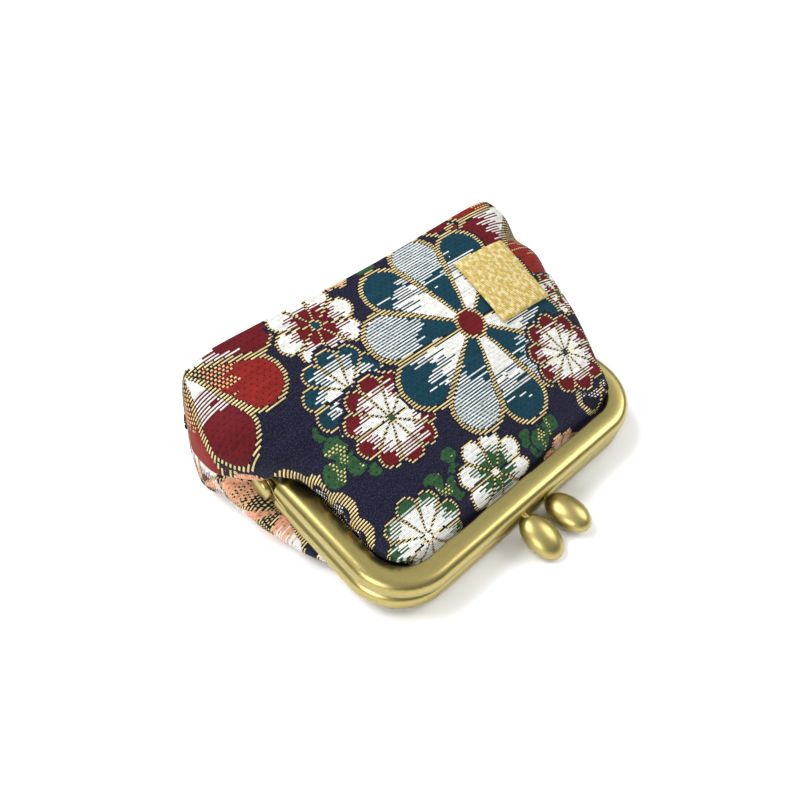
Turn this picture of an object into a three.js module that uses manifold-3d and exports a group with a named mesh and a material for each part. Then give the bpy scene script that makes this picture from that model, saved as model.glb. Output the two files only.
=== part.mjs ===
import * as THREE from 'three';
import { mergeVertices } from 'three/addons/utils/BufferGeometryUtils.js';
import Module from 'manifold-3d';

// A brocade coin purse lying closed on its back panel, in millimetres with Z up.
// The clasp frame is drawn first in its own axes: X runs along the mouth bar, Y runs from the
// mouth's outer line towards the bag's bottom, and Z = 0 is the plane where the two halves close.
// The whole purse is then tipped until the knobs and the back panel touch the ground.

// Clasp frame
const frameWidth = 84;
const hingeDepth = 41;
const frameCornerRadius = 13.6;
const bandWidth = 5.6;
const halfHeight = 5.1;
const closingGap = 0.3;
const webWidth = 2.6;
const slotMiddle = 2.6;
const beadRadius = 2.3;
const innerLipRadius = 0.6;
const armEndSetback = 3.8;

// Ears and rivets
const earThickness = 0.8;
const earRadius = 2.7;
const outerEarInset = 0.4;
const earRootLength = 4;
const earRootHeight = 2.8;
const earNeckDrop = 0.2;
const rivetShank = 1.8;
const rivetHead = 5.8;
const rivetInnerHead = 3.8;
const rivetHeadThickness = 1.4;
const rivetInnerHeadThickness = 0.8;

// Knobs
const knobLength = 11.4;
const knobWidth = 7.6;
const knobThickness = 5.7;
const knobSpacing = 9.1;
const knobReach = 5.5;
const knobTilt = THREE.MathUtils.degToRad(9);
const stemDiameter = 1.4;
const stemDepth = 1.1;
const stemHeight = 1.6;

// Bag
const clothThickness = 1;
const bagDepth = 62.3;
const bagThickness = 46;
const bagWidth = 102;
const bottomWidth = 91;
const backSwell = 0.8;
const bottomBulge = 2;
const seamGap = 0.3;
const seamSetback = 5;
const notchDrop = 2.2;
const slotTurnRise = 0.8;
const lipSlack = 0.1;
const lipRun = 1.8;
const rowLead = 1;

// Label
const labelWidth = 17;
const labelLength = 17.4;
const labelThickness = 0.6;
const labelCentreX = 29;
const labelCentreY = 41.7;

const clearance = 0.3;

// Worked out from the sizes above
const halfCloth = clothThickness / 2;
const frameHalfWidth = frameWidth / 2;
const slotHalfHeight = halfCloth + 1.5 * clearance;
const armEnd = hingeDepth - armEndSetback;
const seamStart = hingeDepth + seamSetback;
const closingFace = closingGap / 2;
const seamFace = seamGap / 2;
const clothInset = bandWidth + 2 * clearance + halfCloth;
const slotExit = bandWidth + halfCloth;
const slotTurnHeight = slotMiddle + slotTurnRise;
const lipHeight = halfHeight + clearance + halfCloth + lipSlack;
const lipDepth = clothInset + lipRun;
const foldedTop = bagThickness / 2 - halfCloth;
const innerEarInset = outerEarInset + earThickness + clearance;
const rivetInnerFace = innerEarInset + earThickness + clearance;

// Lie of a panel from the mouth to the bottom crease. along is the share of the way from the lip
// of the mouth bar to the crease, rise the share of the height, swell the share of the full swell
// beyond the clasp, shoulder the share of the height where the side is fullest, and square how
// far a cross-section is from a box: 0 a box, 1 an ellipse. snug and boxed take the place of
// swell and square on the front panel's left side, where the cloth stays behind the clasp's arm.
const faceRows = [
  { along: 0.0, rise: 0.0, shoulder: 0.05, swell: 0.04, square: 0.9, snug: 0.02, boxed: 0.9 },
  { along: 0.05, rise: 0.1, shoulder: 0.06, swell: 0.08, square: 0.9, snug: 0.025, boxed: 0.86 },
  { along: 0.13, rise: 0.24, shoulder: 0.08, swell: 0.2, square: 0.88, snug: 0.03, boxed: 0.8 },
  { along: 0.22, rise: 0.37, shoulder: 0.14, swell: 0.36, square: 0.85, snug: 0.04, boxed: 0.74 },
  { along: 0.36, rise: 0.54, shoulder: 0.21, swell: 0.57, square: 0.8, snug: 0.07, boxed: 0.66 },
  { along: 0.5, rise: 0.68, shoulder: 0.21, swell: 0.72, square: 0.74, snug: 0.25, boxed: 0.6 },
  { along: 0.6, rise: 0.77, shoulder: 0.18, swell: 0.84, square: 0.68, snug: 0.6, boxed: 0.56 },
  { along: 0.7, rise: 0.85, shoulder: 0.17, swell: 0.98, square: 0.6, snug: 0.92, boxed: 0.52 },
  { along: 0.78, rise: 0.91, shoulder: 0.16, swell: 1.0, square: 0.52, snug: 1.0, boxed: 0.46 },
  { along: 0.86, rise: 0.96, shoulder: 0.13, swell: 0.93, square: 0.37, snug: 0.96, boxed: 0.35 },
  { along: 0.93, rise: 0.99, shoulder: 0.07, swell: 0.79, square: 0.24, snug: 0.8, boxed: 0.24 },
  { along: 1.0, rise: 1.0, shoulder: 0.02, swell: 0.61, square: 0.14, snug: 0.61, boxed: 0.14 },
];

// Sides of the panels: how full each is, and the table's columns that it follows
const fullSide = { fullness: 1, swell: 'swell', square: 'square' };
const snugSide = { fullness: 1, swell: 'snug', square: 'boxed' };
const backSide = { fullness: backSwell, swell: 'swell', square: 'square' };

// Cloth edge in the notch beside the hinge, from the arm's end to the start of the side seam:
// out is the share of the way from the clasp's inner edge to the seam, open the share of the
// slot's height that the two edges still stand apart.
const notchRows = [
  { along: 0.0, out: 0.0, open: 1.0 },
  { along: 0.12, out: 0.0, open: 1.0 },
  { along: 0.32, out: 0.12, open: 0.85 },
  { along: 0.55, out: 0.22, open: 0.6 },
  { along: 0.8, out: 0.35, open: 0.22 },
  { along: 1.0, out: 1.0, open: 0.0 },
];

// Side seam from its start to the crease: recess is the share of the full swell by which the
// seam line lies inside the widest part.
const seamRows = [
  { along: 0.0, recess: 0.42 },
  { along: 0.25, recess: 0.26 },
  { along: 0.5, recess: 0.18 },
  { along: 0.75, recess: 0.1 },
  { along: 1.0, recess: 0.03 },
];

// Dents and swells of the soft cloth, centres and spreads as shares of the half width, the depth
// and the half thickness, depth as a share of the bag's thickness and positive inwards.
const frontFolds = [
  { x: 0.92, y: 0.83, z: 0.6, spreadX: 0.16, spreadY: 0.075, depth: 0.055 },
  { x: -0.93, y: 0.84, z: 0.62, spreadX: 0.16, spreadY: 0.09, depth: 0.03 },
  { x: 0.05, y: 0.96, z: 1.0, spreadX: 0.55, spreadY: 0.16, depth: 0.022 },
  { x: -0.5, y: 0.4, z: 0.7, spreadX: 0.22, spreadY: 0.3, depth: 0.012 },
  { x: 0.5, y: 0.3, z: 0.6, spreadX: 0.2, spreadY: 0.26, depth: 0.014 },
];
const backFolds = [
  { x: -0.92, y: 0.8, z: 0.55, spreadX: 0.18, spreadY: 0.1, depth: 0.04 },
  { x: 0.94, y: 0.78, z: 0.5, spreadX: 0.16, spreadY: 0.09, depth: 0.035 },
];

const arcSteps = 9;
const curveSteps = 24;
const mouthSpread = 0.12;
const swellColumns = 3;
const faceColumns = 8;
const armRowCount = 8;
const notchRowCount = 4;
const sideRowCount = 7;

const brass = { color: 0xb3a86a, roughness: 0.38, metalness: 1.0 };
const brocade = { color: 0x26283f, roughness: 0.75, metalness: 0.0 };
const wovenLabel = { color: 0xe0b84a, roughness: 0.6, metalness: 0.0 };

const purse = new THREE.Group();
const wasm = await Module();
wasm.setup();

// Smooth interpolation of one column of a table
function lookup(table, column, along) {
  const last = table.length - 1;
  const at = THREE.MathUtils.clamp(along, table[0].along, table[last].along);
  let i = 0;
  while (i < last - 1 && table[i + 1].along < at) i += 1;
  const slope = (k) => {
    const before = table[Math.max(k - 1, 0)];
    const after = table[Math.min(k + 1, last)];
    return (after[column] - before[column]) / (after.along - before.along);
  };
  const span = table[i + 1].along - table[i].along;
  const t = (at - table[i].along) / span;
  const start = table[i][column];
  const rise = table[i + 1][column] - start;
  const bend = (slope(i) * (1 - t) - slope(i + 1) * t) * span - rise * (1 - 2 * t);
  return start + rise * t + t * (1 - t) * bend;
}

function addPiece(name, geometry, finish) {
  const mesh = new THREE.Mesh(geometry, new THREE.MeshStandardMaterial(finish));
  mesh.name = name;
  purse.add(mesh);
  return mesh;
}

function meshOf(points, triangles) {
  const geometry = new THREE.BufferGeometry();
  const flat = points.flatMap((p) => [p.x, p.y, p.z]);
  geometry.setAttribute('position', new THREE.Float32BufferAttribute(flat, 3));
  geometry.setIndex(triangles.flat());
  return geometry;
}

function solidOf(geometry) {
  const bare = geometry.clone();
  bare.deleteAttribute('normal');
  bare.deleteAttribute('uv');
  const merged = mergeVertices(bare, 1e-4);
  return new wasm.Manifold(new wasm.Mesh({
    numProp: 3,
    vertProperties: new Float32Array(merged.attributes.position.array),
    triVerts: new Uint32Array(merged.index.array),
  }));
}

function geometryOf(solid) {
  const mesh = solid.getMesh();
  const geometry = new THREE.BufferGeometry();
  geometry.setAttribute('position', new THREE.BufferAttribute(mesh.vertProperties, 3));
  geometry.setIndex(new THREE.BufferAttribute(mesh.triVerts, 1));
  return geometry;
}

// Outer line of the closed clasp, from the left arm's end round the bar to the right arm's end
function claspStations() {
  const stations = [];
  const centreX = frameHalfWidth - frameCornerRadius;
  const corner = (side, turn) => ({
    x: side * centreX + frameCornerRadius * Math.cos(turn),
    y: frameCornerRadius + frameCornerRadius * Math.sin(turn),
    outX: Math.cos(turn),
    outY: Math.sin(turn),
  });
  stations.push({ x: -frameHalfWidth, y: armEnd, outX: -1, outY: 0 });
  for (let i = 0; i <= arcSteps; i += 1) {
    stations.push(corner(-1, Math.PI + (i / arcSteps) * Math.PI / 2));
  }
  for (let i = 0; i <= arcSteps; i += 1) {
    stations.push(corner(1, 1.5 * Math.PI + (i / arcSteps) * Math.PI / 2));
  }
  stations.push({ x: frameHalfWidth, y: armEnd, outX: 1, outY: 0 });
  return stations;
}

// Section of one half of the clasp: inset from the outer line and height over the closing plane.
// A rounded outer bead, a gently domed face, and a slot that opens inwards for the cloth.
function channelSection() {
  const section = [];
  const round = (centreInset, centreHeight, radius, from, to, steps) => {
    for (let i = 0; i <= steps; i += 1) {
      const turn = from + ((to - from) * i) / steps;
      section.push(new THREE.Vector2(
        centreInset + radius * Math.cos(turn),
        centreHeight + radius * Math.sin(turn),
      ));
    }
  };
  const lipCentre = bandWidth - innerLipRadius;
  const beadHeight = halfHeight - beadRadius;
  round(beadRadius, beadRadius + closingFace, beadRadius, 1.5 * Math.PI, Math.PI, 4);
  round(beadRadius, beadHeight, beadRadius, Math.PI, 0.5 * Math.PI, 4);
  round(lipCentre, halfHeight - 1.4 * innerLipRadius, innerLipRadius, 0.42 * Math.PI, 0, 2);
  section.push(new THREE.Vector2(bandWidth, slotMiddle + slotHalfHeight));
  section.push(new THREE.Vector2(webWidth, slotMiddle + slotHalfHeight));
  section.push(new THREE.Vector2(webWidth, slotMiddle - slotHalfHeight));
  section.push(new THREE.Vector2(bandWidth, slotMiddle - slotHalfHeight));
  section.push(new THREE.Vector2(bandWidth, closingFace + innerLipRadius));
  section.push(new THREE.Vector2(lipCentre, closingFace));
  const distinct = section.filter((p, i) => i === 0 || p.distanceTo(section[i - 1]) > 0.01);
  return THREE.ShapeUtils.isClockWise(distinct) ? distinct.reverse() : distinct;
}

function sweptChannel(side) {
  const section = channelSection();
  const stations = claspStations();
  const ring = section.length;
  const points = stations.flatMap((s) => section.map((p) => new THREE.Vector3(
    s.x - s.outX * p.x,
    s.y - s.outY * p.x,
    side * p.y,
  )));
  const triangles = [];
  for (let i = 0; i < stations.length - 1; i += 1) {
    for (let j = 0; j < ring; j += 1) {
      const a = i * ring + j;
      const b = i * ring + ((j + 1) % ring);
      triangles.push([a, b, b + ring], [a, b + ring, a + ring]);
    }
  }
  const lastRing = (stations.length - 1) * ring;
  for (const [a, b, c] of THREE.ShapeUtils.triangulateShape(section, [])) {
    triangles.push([a, c, b], [lastRing + a, lastRing + b, lastRing + c]);
  }
  return outwards(meshOf(points, triangles));
}

// Turns a closed mesh's triangles over if they face inwards
function outwards(geometry) {
  const p = geometry.attributes.position;
  const index = geometry.index.array;
  const a = new THREE.Vector3();
  const b = new THREE.Vector3();
  const c = new THREE.Vector3();
  let volume = 0;
  for (let i = 0; i < index.length; i += 3) {
    a.fromBufferAttribute(p, index[i]);
    b.fromBufferAttribute(p, index[i + 1]);
    c.fromBufferAttribute(p, index[i + 2]);
    volume += a.dot(b.cross(c));
  }
  if (volume < 0) {
    for (let i = 0; i < index.length; i += 3) {
      [index[i + 1], index[i + 2]] = [index[i + 2], index[i + 1]];
    }
  }
  return geometry;
}

// Flat ear that carries an arm round the rivet, with its hole
function earSolid(side, half, inset) {
  const shape = new THREE.Shape();
  const root = armEnd - earRootLength;
  const rootTop = slotMiddle + earRootHeight / 2;
  shape.moveTo(root, slotMiddle - earRootHeight / 2);
  shape.lineTo(root, rootTop);
  shape.lineTo(armEnd, rootTop - earNeckDrop);
  shape.absarc(hingeDepth, 0, earRadius, 0.6 * Math.PI, 1.12 * Math.PI, true);
  shape.lineTo(armEnd, closingFace + clearance);
  const hole = new THREE.Path();
  hole.absarc(hingeDepth, 0, rivetShank / 2 + clearance, 0, 2 * Math.PI, false);
  shape.holes.push(hole);
  const ear = new THREE.ExtrudeGeometry(shape, {
    depth: earThickness, bevelEnabled: false, curveSegments: 8,
  });
  const outerFace = frameHalfWidth - inset;
  ear.applyMatrix4(new THREE.Matrix4().makeBasis(
    new THREE.Vector3(0, 1, 0),
    new THREE.Vector3(0, 0, half),
    new THREE.Vector3(side, 0, 0),
  ));
  ear.translate(side * (outerFace - earThickness), 0, 0);
  return solidOf(outwards(mergeVertices(bareOf(ear), 1e-4)));
}

function bareOf(geometry) {
  geometry.deleteAttribute('normal');
  geometry.deleteAttribute('uv');
  return geometry;
}

// Bore in the bead that takes a knob's stem
function stemBore(knob) {
  const bore = new THREE.CylinderGeometry(
    stemDiameter / 2 + clearance, stemDiameter / 2 + clearance, 2 * (stemDepth + clearance), 10,
  );
  bore.translate(knob.x, 0, knob.half * stemHeight);
  return solidOf(bore);
}

// The front half's knob stands left of the middle and leans to the back, the other one leans
// to the front, so that they snap past each other.
const knobs = [
  { name: 'knob_front', half: 1, x: -knobSpacing / 2 },
  { name: 'knob_back', half: -1, x: knobSpacing / 2 },
];

function claspHalf(knob) {
  let solid = solidOf(sweptChannel(knob.half));
  for (const side of [-1, 1]) {
    solid = solid.add(earSolid(side, knob.half, knob.half > 0 ? innerEarInset : outerEarInset));
  }
  return geometryOf(solid.subtract(stemBore(knob)));
}

addPiece('frame_front', claspHalf(knobs[0]), brass);
addPiece('frame_back', claspHalf(knobs[1]), brass);

// Knobs: olive-shaped drops on short stems
function knobGeometry(knob) {
  const drop = new THREE.SphereGeometry(0.5, 16, 12);
  drop.scale(knobWidth, knobLength, knobThickness);
  drop.rotateX(knob.half * knobTilt);
  drop.translate(knob.x, -knobReach, 0);
  const stemLength = stemDepth + knobReach / 2;
  const stem = new THREE.CylinderGeometry(stemDiameter / 2, stemDiameter / 2, stemLength, 8);
  stem.translate(knob.x, stemDepth - stemLength / 2, knob.half * stemHeight);
  return geometryOf(solidOf(drop).add(solidOf(stem)));
}

for (const knob of knobs) {
  addPiece(knob.name, knobGeometry(knob), brass);
}

// Hinge rivets: a broad head outside, a shank through both ears, a small head inside
function rivetGeometry() {
  const shank = rivetShank / 2;
  const head = rivetHead / 2;
  const innerHead = rivetInnerHead / 2;
  const headFace = clearance - outerEarInset;
  const top = headFace + rivetHeadThickness;
  const inner = -rivetInnerFace;
  const profile = [
    new THREE.Vector2(0, inner - rivetInnerHeadThickness),
    new THREE.Vector2(innerHead * 0.8, inner - rivetInnerHeadThickness),
    new THREE.Vector2(innerHead, inner - rivetInnerHeadThickness / 2),
    new THREE.Vector2(innerHead, inner),
    new THREE.Vector2(shank, inner),
    new THREE.Vector2(shank, headFace),
    new THREE.Vector2(head, headFace),
    new THREE.Vector2(head, headFace + rivetHeadThickness * 0.35),
    new THREE.Vector2(head * 0.78, top - rivetHeadThickness * 0.12),
    new THREE.Vector2(0, top),
  ];
  return new THREE.LatheGeometry(profile, 14);
}

for (const [name, side] of [['hinge_rivet_left', -1], ['hinge_rivet_right', 1]]) {
  const rivet = rivetGeometry();
  rivet.rotateZ(-side * Math.PI / 2);
  rivet.translate(side * frameHalfWidth, hingeDepth, 0);
  addPiece(name, rivet, brass);
}

// Half width of the line that lies a given inset inside the clasp's outer line, at depth y
function claspHalfWidth(inset, y) {
  if (y >= frameCornerRadius) return frameHalfWidth - inset;
  const radius = frameCornerRadius - inset;
  const down = frameCornerRadius - y;
  const across = Math.sqrt(Math.max(radius * radius - down * down, 0));
  return frameHalfWidth - frameCornerRadius + across;
}

function faceShare(y) {
  return (y - lipDepth) / (bagDepth - lipDepth);
}

function fullest(y, side) {
  const lip = claspHalfWidth(clothInset, y);
  const clasp = frameHalfWidth - clothInset;
  const swell = (bagWidth / 2 - halfCloth - clasp) * side.fullness;
  const atCrease = clasp + swell * faceRows[faceRows.length - 1].swell;
  const pinched = atCrease - (bottomWidth / 2 - halfCloth);
  const share = faceShare(y);
  const pull = share > 0.7 ? ((share - 0.7) / 0.3) ** 2 * pinched : 0;
  return lip + swell * lookup(faceRows, side.swell, share) - pull;
}

// Edge of the cloth: in the clasp's slot, through the notch at the hinge, then along the seam
function edgeOfRow(y) {
  const slotTurn = [
    [webWidth + clearance, slotMiddle],
    [slotExit, slotMiddle],
    [clothInset, slotTurnHeight],
    [clothInset, halfHeight - 0.4],
    [clothInset - 0.6, lipHeight],
  ];
  if (y <= armEnd - clearance) {
    return slotTurn.map(([inset, z]) => new THREE.Vector2(claspHalfWidth(inset, y), z));
  }
  const seam = seamHalfWidth(Math.max(y, seamStart));
  const along = (y - armEnd) / (seamStart - armEnd);
  const clasp = frameHalfWidth - clothInset;
  const x = clasp + (seam - clasp) * lookup(notchRows, 'out', along);
  const open = seamFace + (slotMiddle - seamFace) * lookup(notchRows, 'open', along);
  const top = lipHeight - notchDrop * THREE.MathUtils.smoothstep(along, 0.1, 0.35);
  return slotTurn.map((_, i) => new THREE.Vector2(x, open + ((top - open) * i) / 4));
}

function seamHalfWidth(y) {
  const along = (y - seamStart) / (bagDepth - seamStart);
  const swell = bagWidth / 2 - (frameHalfWidth - clothInset);
  return fullest(y, fullSide) - swell * lookup(seamRows, 'recess', along);
}

// Half a cross-section of the front panel: out from the edge to the fullest line, and from there
// over the face to the middle line
function swellOfRow(y, from, side) {
  const { widest, shoulder } = crossSection(y, from, side);
  const line = [];
  for (let i = 0; i <= curveSteps; i += 1) {
    const turn = (i / curveSteps) * Math.PI / 2;
    line.push(new THREE.Vector2(
      from.x + (widest - from.x) * Math.sin(turn),
      shoulder - (shoulder - from.y) * Math.cos(turn),
    ));
  }
  return line;
}

function faceOfRow(y, from, side) {
  const { widest, shoulder, height, square } = crossSection(y, from, side);
  const line = [];
  for (let i = 0; i <= 2 * curveSteps; i += 1) {
    const turn = (i / (2 * curveSteps)) * Math.PI / 2;
    line.push(new THREE.Vector2(
      widest * Math.max(Math.cos(turn), 0) ** square,
      shoulder + (height - shoulder) * Math.sin(turn) ** square,
    ));
  }
  line[line.length - 1].x = 0;
  return line;
}

function crossSection(y, from, side) {
  const share = faceShare(y);
  const height = lipHeight + (foldedTop - lipHeight) * lookup(faceRows, 'rise', share);
  return {
    widest: Math.max(fullest(y, side), from.x + 0.3),
    shoulder: from.y + Math.max((height - from.y) * lookup(faceRows, 'shoulder', share), 0.3),
    height: Math.max(height, from.y + 0.5),
    square: lookup(faceRows, side.square, share),
  };
}

// Points at even steps along a line
function evenly(line, count) {
  const lengths = [0];
  for (let i = 1; i < line.length; i += 1) {
    lengths.push(lengths[i - 1] + line[i].distanceTo(line[i - 1]));
  }
  const total = lengths[lengths.length - 1];
  const result = [];
  for (let k = 1; k <= count; k += 1) {
    const want = (total * k) / count;
    let i = 1;
    while (i < line.length - 1 && lengths[i] < want) i += 1;
    const t = (want - lengths[i - 1]) / (lengths[i] - lengths[i - 1] || 1);
    result.push(line[i - 1].clone().lerp(line[i], t));
  }
  return result;
}

function halfRow(y, side) {
  const edge = edgeOfRow(y);
  const lip = edge[edge.length - 1];
  return [
    ...edge,
    ...evenly(swellOfRow(y, lip, side), swellColumns),
    ...evenly(faceOfRow(y, lip, side), faceColumns),
  ];
}

// Rows of the panel from the mouth bar's slot to the seam in the middle of the bag's bottom
function panelRows(side) {
  const rows = [];
  const flatHalf = frameHalfWidth - frameCornerRadius;
  const slotLine = (y, z) => {
    const wide = claspHalfWidth(webWidth + clearance, y);
    const count = 5 + swellColumns + faceColumns;
    const half = [];
    for (let i = 0; i < count; i += 1) {
      const out = i < 5 ? wide - ((wide - flatHalf) * i) / 5 : 0;
      const x = i < 5 ? out : flatHalf * (1 - (i - 5) / (count - 6));
      half.push(new THREE.Vector2(x, z));
    }
    return { y, half };
  };
  rows.push(slotLine(webWidth + clearance, slotMiddle));
  rows.push(slotLine(slotExit, slotMiddle));
  const mouthRows = [
    { past: 0, height: slotTurnHeight },
    { past: 0.25, height: lipHeight - 1.5 },
    { past: 0.8, height: lipHeight - 0.2 },
  ];
  for (const { past, height } of mouthRows) {
    const y = clothInset + past;
    const limit = claspHalfWidth(clothInset, y);
    let held = 0;
    const half = halfRow(y, side).map((p) => {
      if (p.y < height) return p;
      held += 1;
      return new THREE.Vector2(Math.min(p.x, limit - mouthSpread * held), height);
    });
    rows.push({ y, half });
  }
  const stretch = (from, to, count, first) => {
    for (let i = first; i <= count; i += 1) {
      const y = from + ((to - from) * i) / count;
      rows.push({ y, half: halfRow(y, side) });
    }
  };
  stretch(lipDepth, armEnd - clearance - lipSlack, armRowCount, 0);
  stretch(armEnd + rowLead, seamStart, notchRowCount, 0);
  stretch(seamStart, bagDepth - rowLead, sideRowCount, 1);
  const crease = halfRow(bagDepth, side);
  const bottomRows = [
    { past: -0.05, fall: 0.985 },
    { past: 0.25, fall: 0.93 },
    { past: 0.6, fall: 0.8 },
    { past: 0.85, fall: 0.5 },
    { past: 0.95, fall: 0.25 },
    { past: 1.0, fall: 0.0 },
  ];
  for (const { past, fall } of bottomRows) {
    const half = crease.map((p) => new THREE.Vector2(p.x, seamFace + (p.y - seamFace) * fall));
    rows.push({ y: bagDepth + bottomBulge * past - halfCloth, half });
  }
  return rows;
}

// Tip of the lying purse: the ground touches the lower knob and the fold of the back panel
function groundUnder(tip) {
  const reach = Math.sin(tip + knobTilt) * knobLength / 2;
  const thick = Math.cos(tip + knobTilt) * knobThickness / 2;
  const knob = knobReach * Math.sin(tip) + Math.hypot(reach, thick);
  const bead = beadRadius - closingFace;
  const bar = (bead + closingFace) * (Math.cos(tip) - Math.sin(tip)) + beadRadius;
  const bag = bagThickness / 2 * Math.cos(tip) - bagDepth * Math.sin(tip);
  return { clasp: Math.max(knob, bar), bag };
}

function restTip() {
  let low = 0;
  let high = Math.PI / 4;
  for (let i = 0; i < 50; i += 1) {
    const middle = (low + high) / 2;
    const { clasp, bag } = groundUnder(middle);
    if (bag > clasp) low = middle;
    else high = middle;
  }
  return low;
}

const tip = restTip();
const groundDrop = groundUnder(tip).clasp;

function groundHeight(y, above) {
  return (above - groundDrop - y * Math.sin(tip)) / Math.cos(tip);
}

function foldDepth(folds, point) {
  let depth = 0;
  for (const fold of folds) {
    const dx = (point.x / (bagWidth / 2) - fold.x) / fold.spreadX;
    const dy = (point.y / bagDepth - fold.y) / fold.spreadY;
    const dz = (Math.abs(point.z) / (bagThickness / 2) - fold.z) / 0.6;
    depth += fold.depth * bagThickness * Math.exp(-dx * dx - dy * dy - dz * dz);
  }
  return depth;
}

function gridNormal(grid, i, j) {
  const row = grid[i];
  const across = row[Math.min(j + 1, row.length - 1)].clone().sub(row[Math.max(j - 1, 0)]);
  const next = grid[Math.min(i + 1, grid.length - 1)][j];
  const down = next.clone().sub(grid[Math.max(i - 1, 0)][j]);
  return across.cross(down).normalize();
}

// A cloth panel as a wall: the grid of its middle surface, moved out and in by half the cloth
function panelGeometry(half, leftSide, rightSide, folds) {
  const rightRows = panelRows(rightSide);
  const grid = panelRows(leftSide).map(({ y, half: line }, i) => {
    const other = rightRows[i].half;
    const left = line.map((p) => new THREE.Vector3(-p.x, y, p.y));
    const right = other.slice(0, -1).reverse().map((p) => new THREE.Vector3(p.x, y, p.y));
    return [...left, ...right];
  });
  const smooth = grid.map((row, i) => row.map((p, j) => {
    const normal = gridNormal(grid, i, j);
    return p.clone().addScaledVector(normal, -foldDepth(folds, p));
  }));
  const points = [];
  for (const sign of [1, -1]) {
    smooth.forEach((row, i) => row.forEach((p, j) => {
      const normal = gridNormal(smooth, i, j);
      const q = p.clone().addScaledVector(normal, sign * halfCloth);
      q.z = half * Math.max(q.z, seamFace);
      const ground = groundHeight(q.y, sign > 0 ? 0 : clothThickness);
      if (half < 0) q.z = Math.max(q.z, ground);
      points.push(q);
    }));
  }
  const rows = grid.length;
  const columns = grid[0].length;
  const inside = rows * columns;
  const at = (i, j) => i * columns + j;
  const triangles = [];
  for (let i = 0; i < rows - 1; i += 1) {
    for (let j = 0; j < columns - 1; j += 1) {
      const [a, b, c, d] = [at(i, j), at(i, j + 1), at(i + 1, j + 1), at(i + 1, j)];
      triangles.push([a, b, c], [a, c, d]);
      triangles.push([inside + a, inside + c, inside + b], [inside + a, inside + d, inside + c]);
    }
  }
  const rim = [];
  for (let j = 0; j < columns - 1; j += 1) rim.push(at(0, j));
  for (let i = 0; i < rows - 1; i += 1) rim.push(at(i, columns - 1));
  for (let j = columns - 1; j > 0; j -= 1) rim.push(at(rows - 1, j));
  for (let i = rows - 1; i > 0; i -= 1) rim.push(at(i, 0));
  rim.forEach((a, k) => {
    const b = rim[(k + 1) % rim.length];
    triangles.push([a, inside + a, inside + b], [a, inside + b, b]);
  });
  return outwards(meshOf(points, triangles));
}

addPiece('front_panel', panelGeometry(1, snugSide, fullSide, frontFolds), brocade);
addPiece('back_panel', panelGeometry(-1, backSide, backSide, backFolds), brocade);

// Height of the front panel's middle surface over the closing plane
function faceHeight(x, y) {
  const edge = edgeOfRow(y);
  const line = faceOfRow(y, edge[edge.length - 1], fullSide);
  let i = 1;
  while (i < line.length - 1 && line[i].x > Math.abs(x)) i += 1;
  const t = (line[i - 1].x - Math.abs(x)) / (line[i - 1].x - line[i].x);
  const z = THREE.MathUtils.lerp(line[i - 1].y, line[i].y, t);
  return z - foldDepth(frontFolds, new THREE.Vector3(x, y, z));
}

// Woven label: a thin piece that follows the cloth under it
function labelGeometry() {
  const steps = 6;
  const points = [];
  const side = steps + 1;
  for (const lift of [halfCloth + clearance + labelThickness, halfCloth + clearance]) {
    for (let i = 0; i < side; i += 1) {
      for (let j = 0; j < side; j += 1) {
        const x = labelCentreX + labelWidth * (j / steps - 0.5);
        const y = labelCentreY + labelLength * (i / steps - 0.5);
        const step = 0.5;
        const slopeX = (faceHeight(x + step, y) - faceHeight(x - step, y)) / (2 * step);
        const slopeY = (faceHeight(x, y + step) - faceHeight(x, y - step)) / (2 * step);
        const normal = new THREE.Vector3(-slopeX, -slopeY, 1).normalize();
        points.push(new THREE.Vector3(x, y, faceHeight(x, y)).addScaledVector(normal, lift));
      }
    }
  }
  const under = side * side;
  const triangles = [];
  for (let i = 0; i < steps; i += 1) {
    for (let j = 0; j < steps; j += 1) {
      const [a, b, c, d] = [i * side + j, i * side + j + 1, (i + 1) * side + j + 1,
        (i + 1) * side + j];
      triangles.push([a, b, c], [a, c, d], [under + a, under + c, under + b]);
      triangles.push([under + a, under + d, under + c]);
    }
  }
  const rim = [];
  for (let j = 0; j < steps; j += 1) rim.push(j);
  for (let i = 0; i < steps; i += 1) rim.push(i * side + steps);
  for (let j = steps; j > 0; j -= 1) rim.push(steps * side + j);
  for (let i = steps; i > 0; i -= 1) rim.push(i * side);
  rim.forEach((a, k) => {
    const b = rim[(k + 1) % rim.length];
    triangles.push([a, under + a, under + b], [a, under + b, b]);
  });
  return outwards(meshOf(points, triangles));
}

addPiece('label', labelGeometry(), wovenLabel);

// Lay the purse down: tipped on its knobs and back panel, its box centred over the origin
purse.rotation.x = tip;
purse.updateMatrixWorld(true);
const box = new THREE.Box3().setFromObject(purse, true);
purse.position.set(
  -(box.min.x + box.max.x) / 2,
  -(box.min.y + box.max.y) / 2,
  groundDrop,
);

const part = new THREE.Group();
part.add(purse);
export default part;
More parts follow.
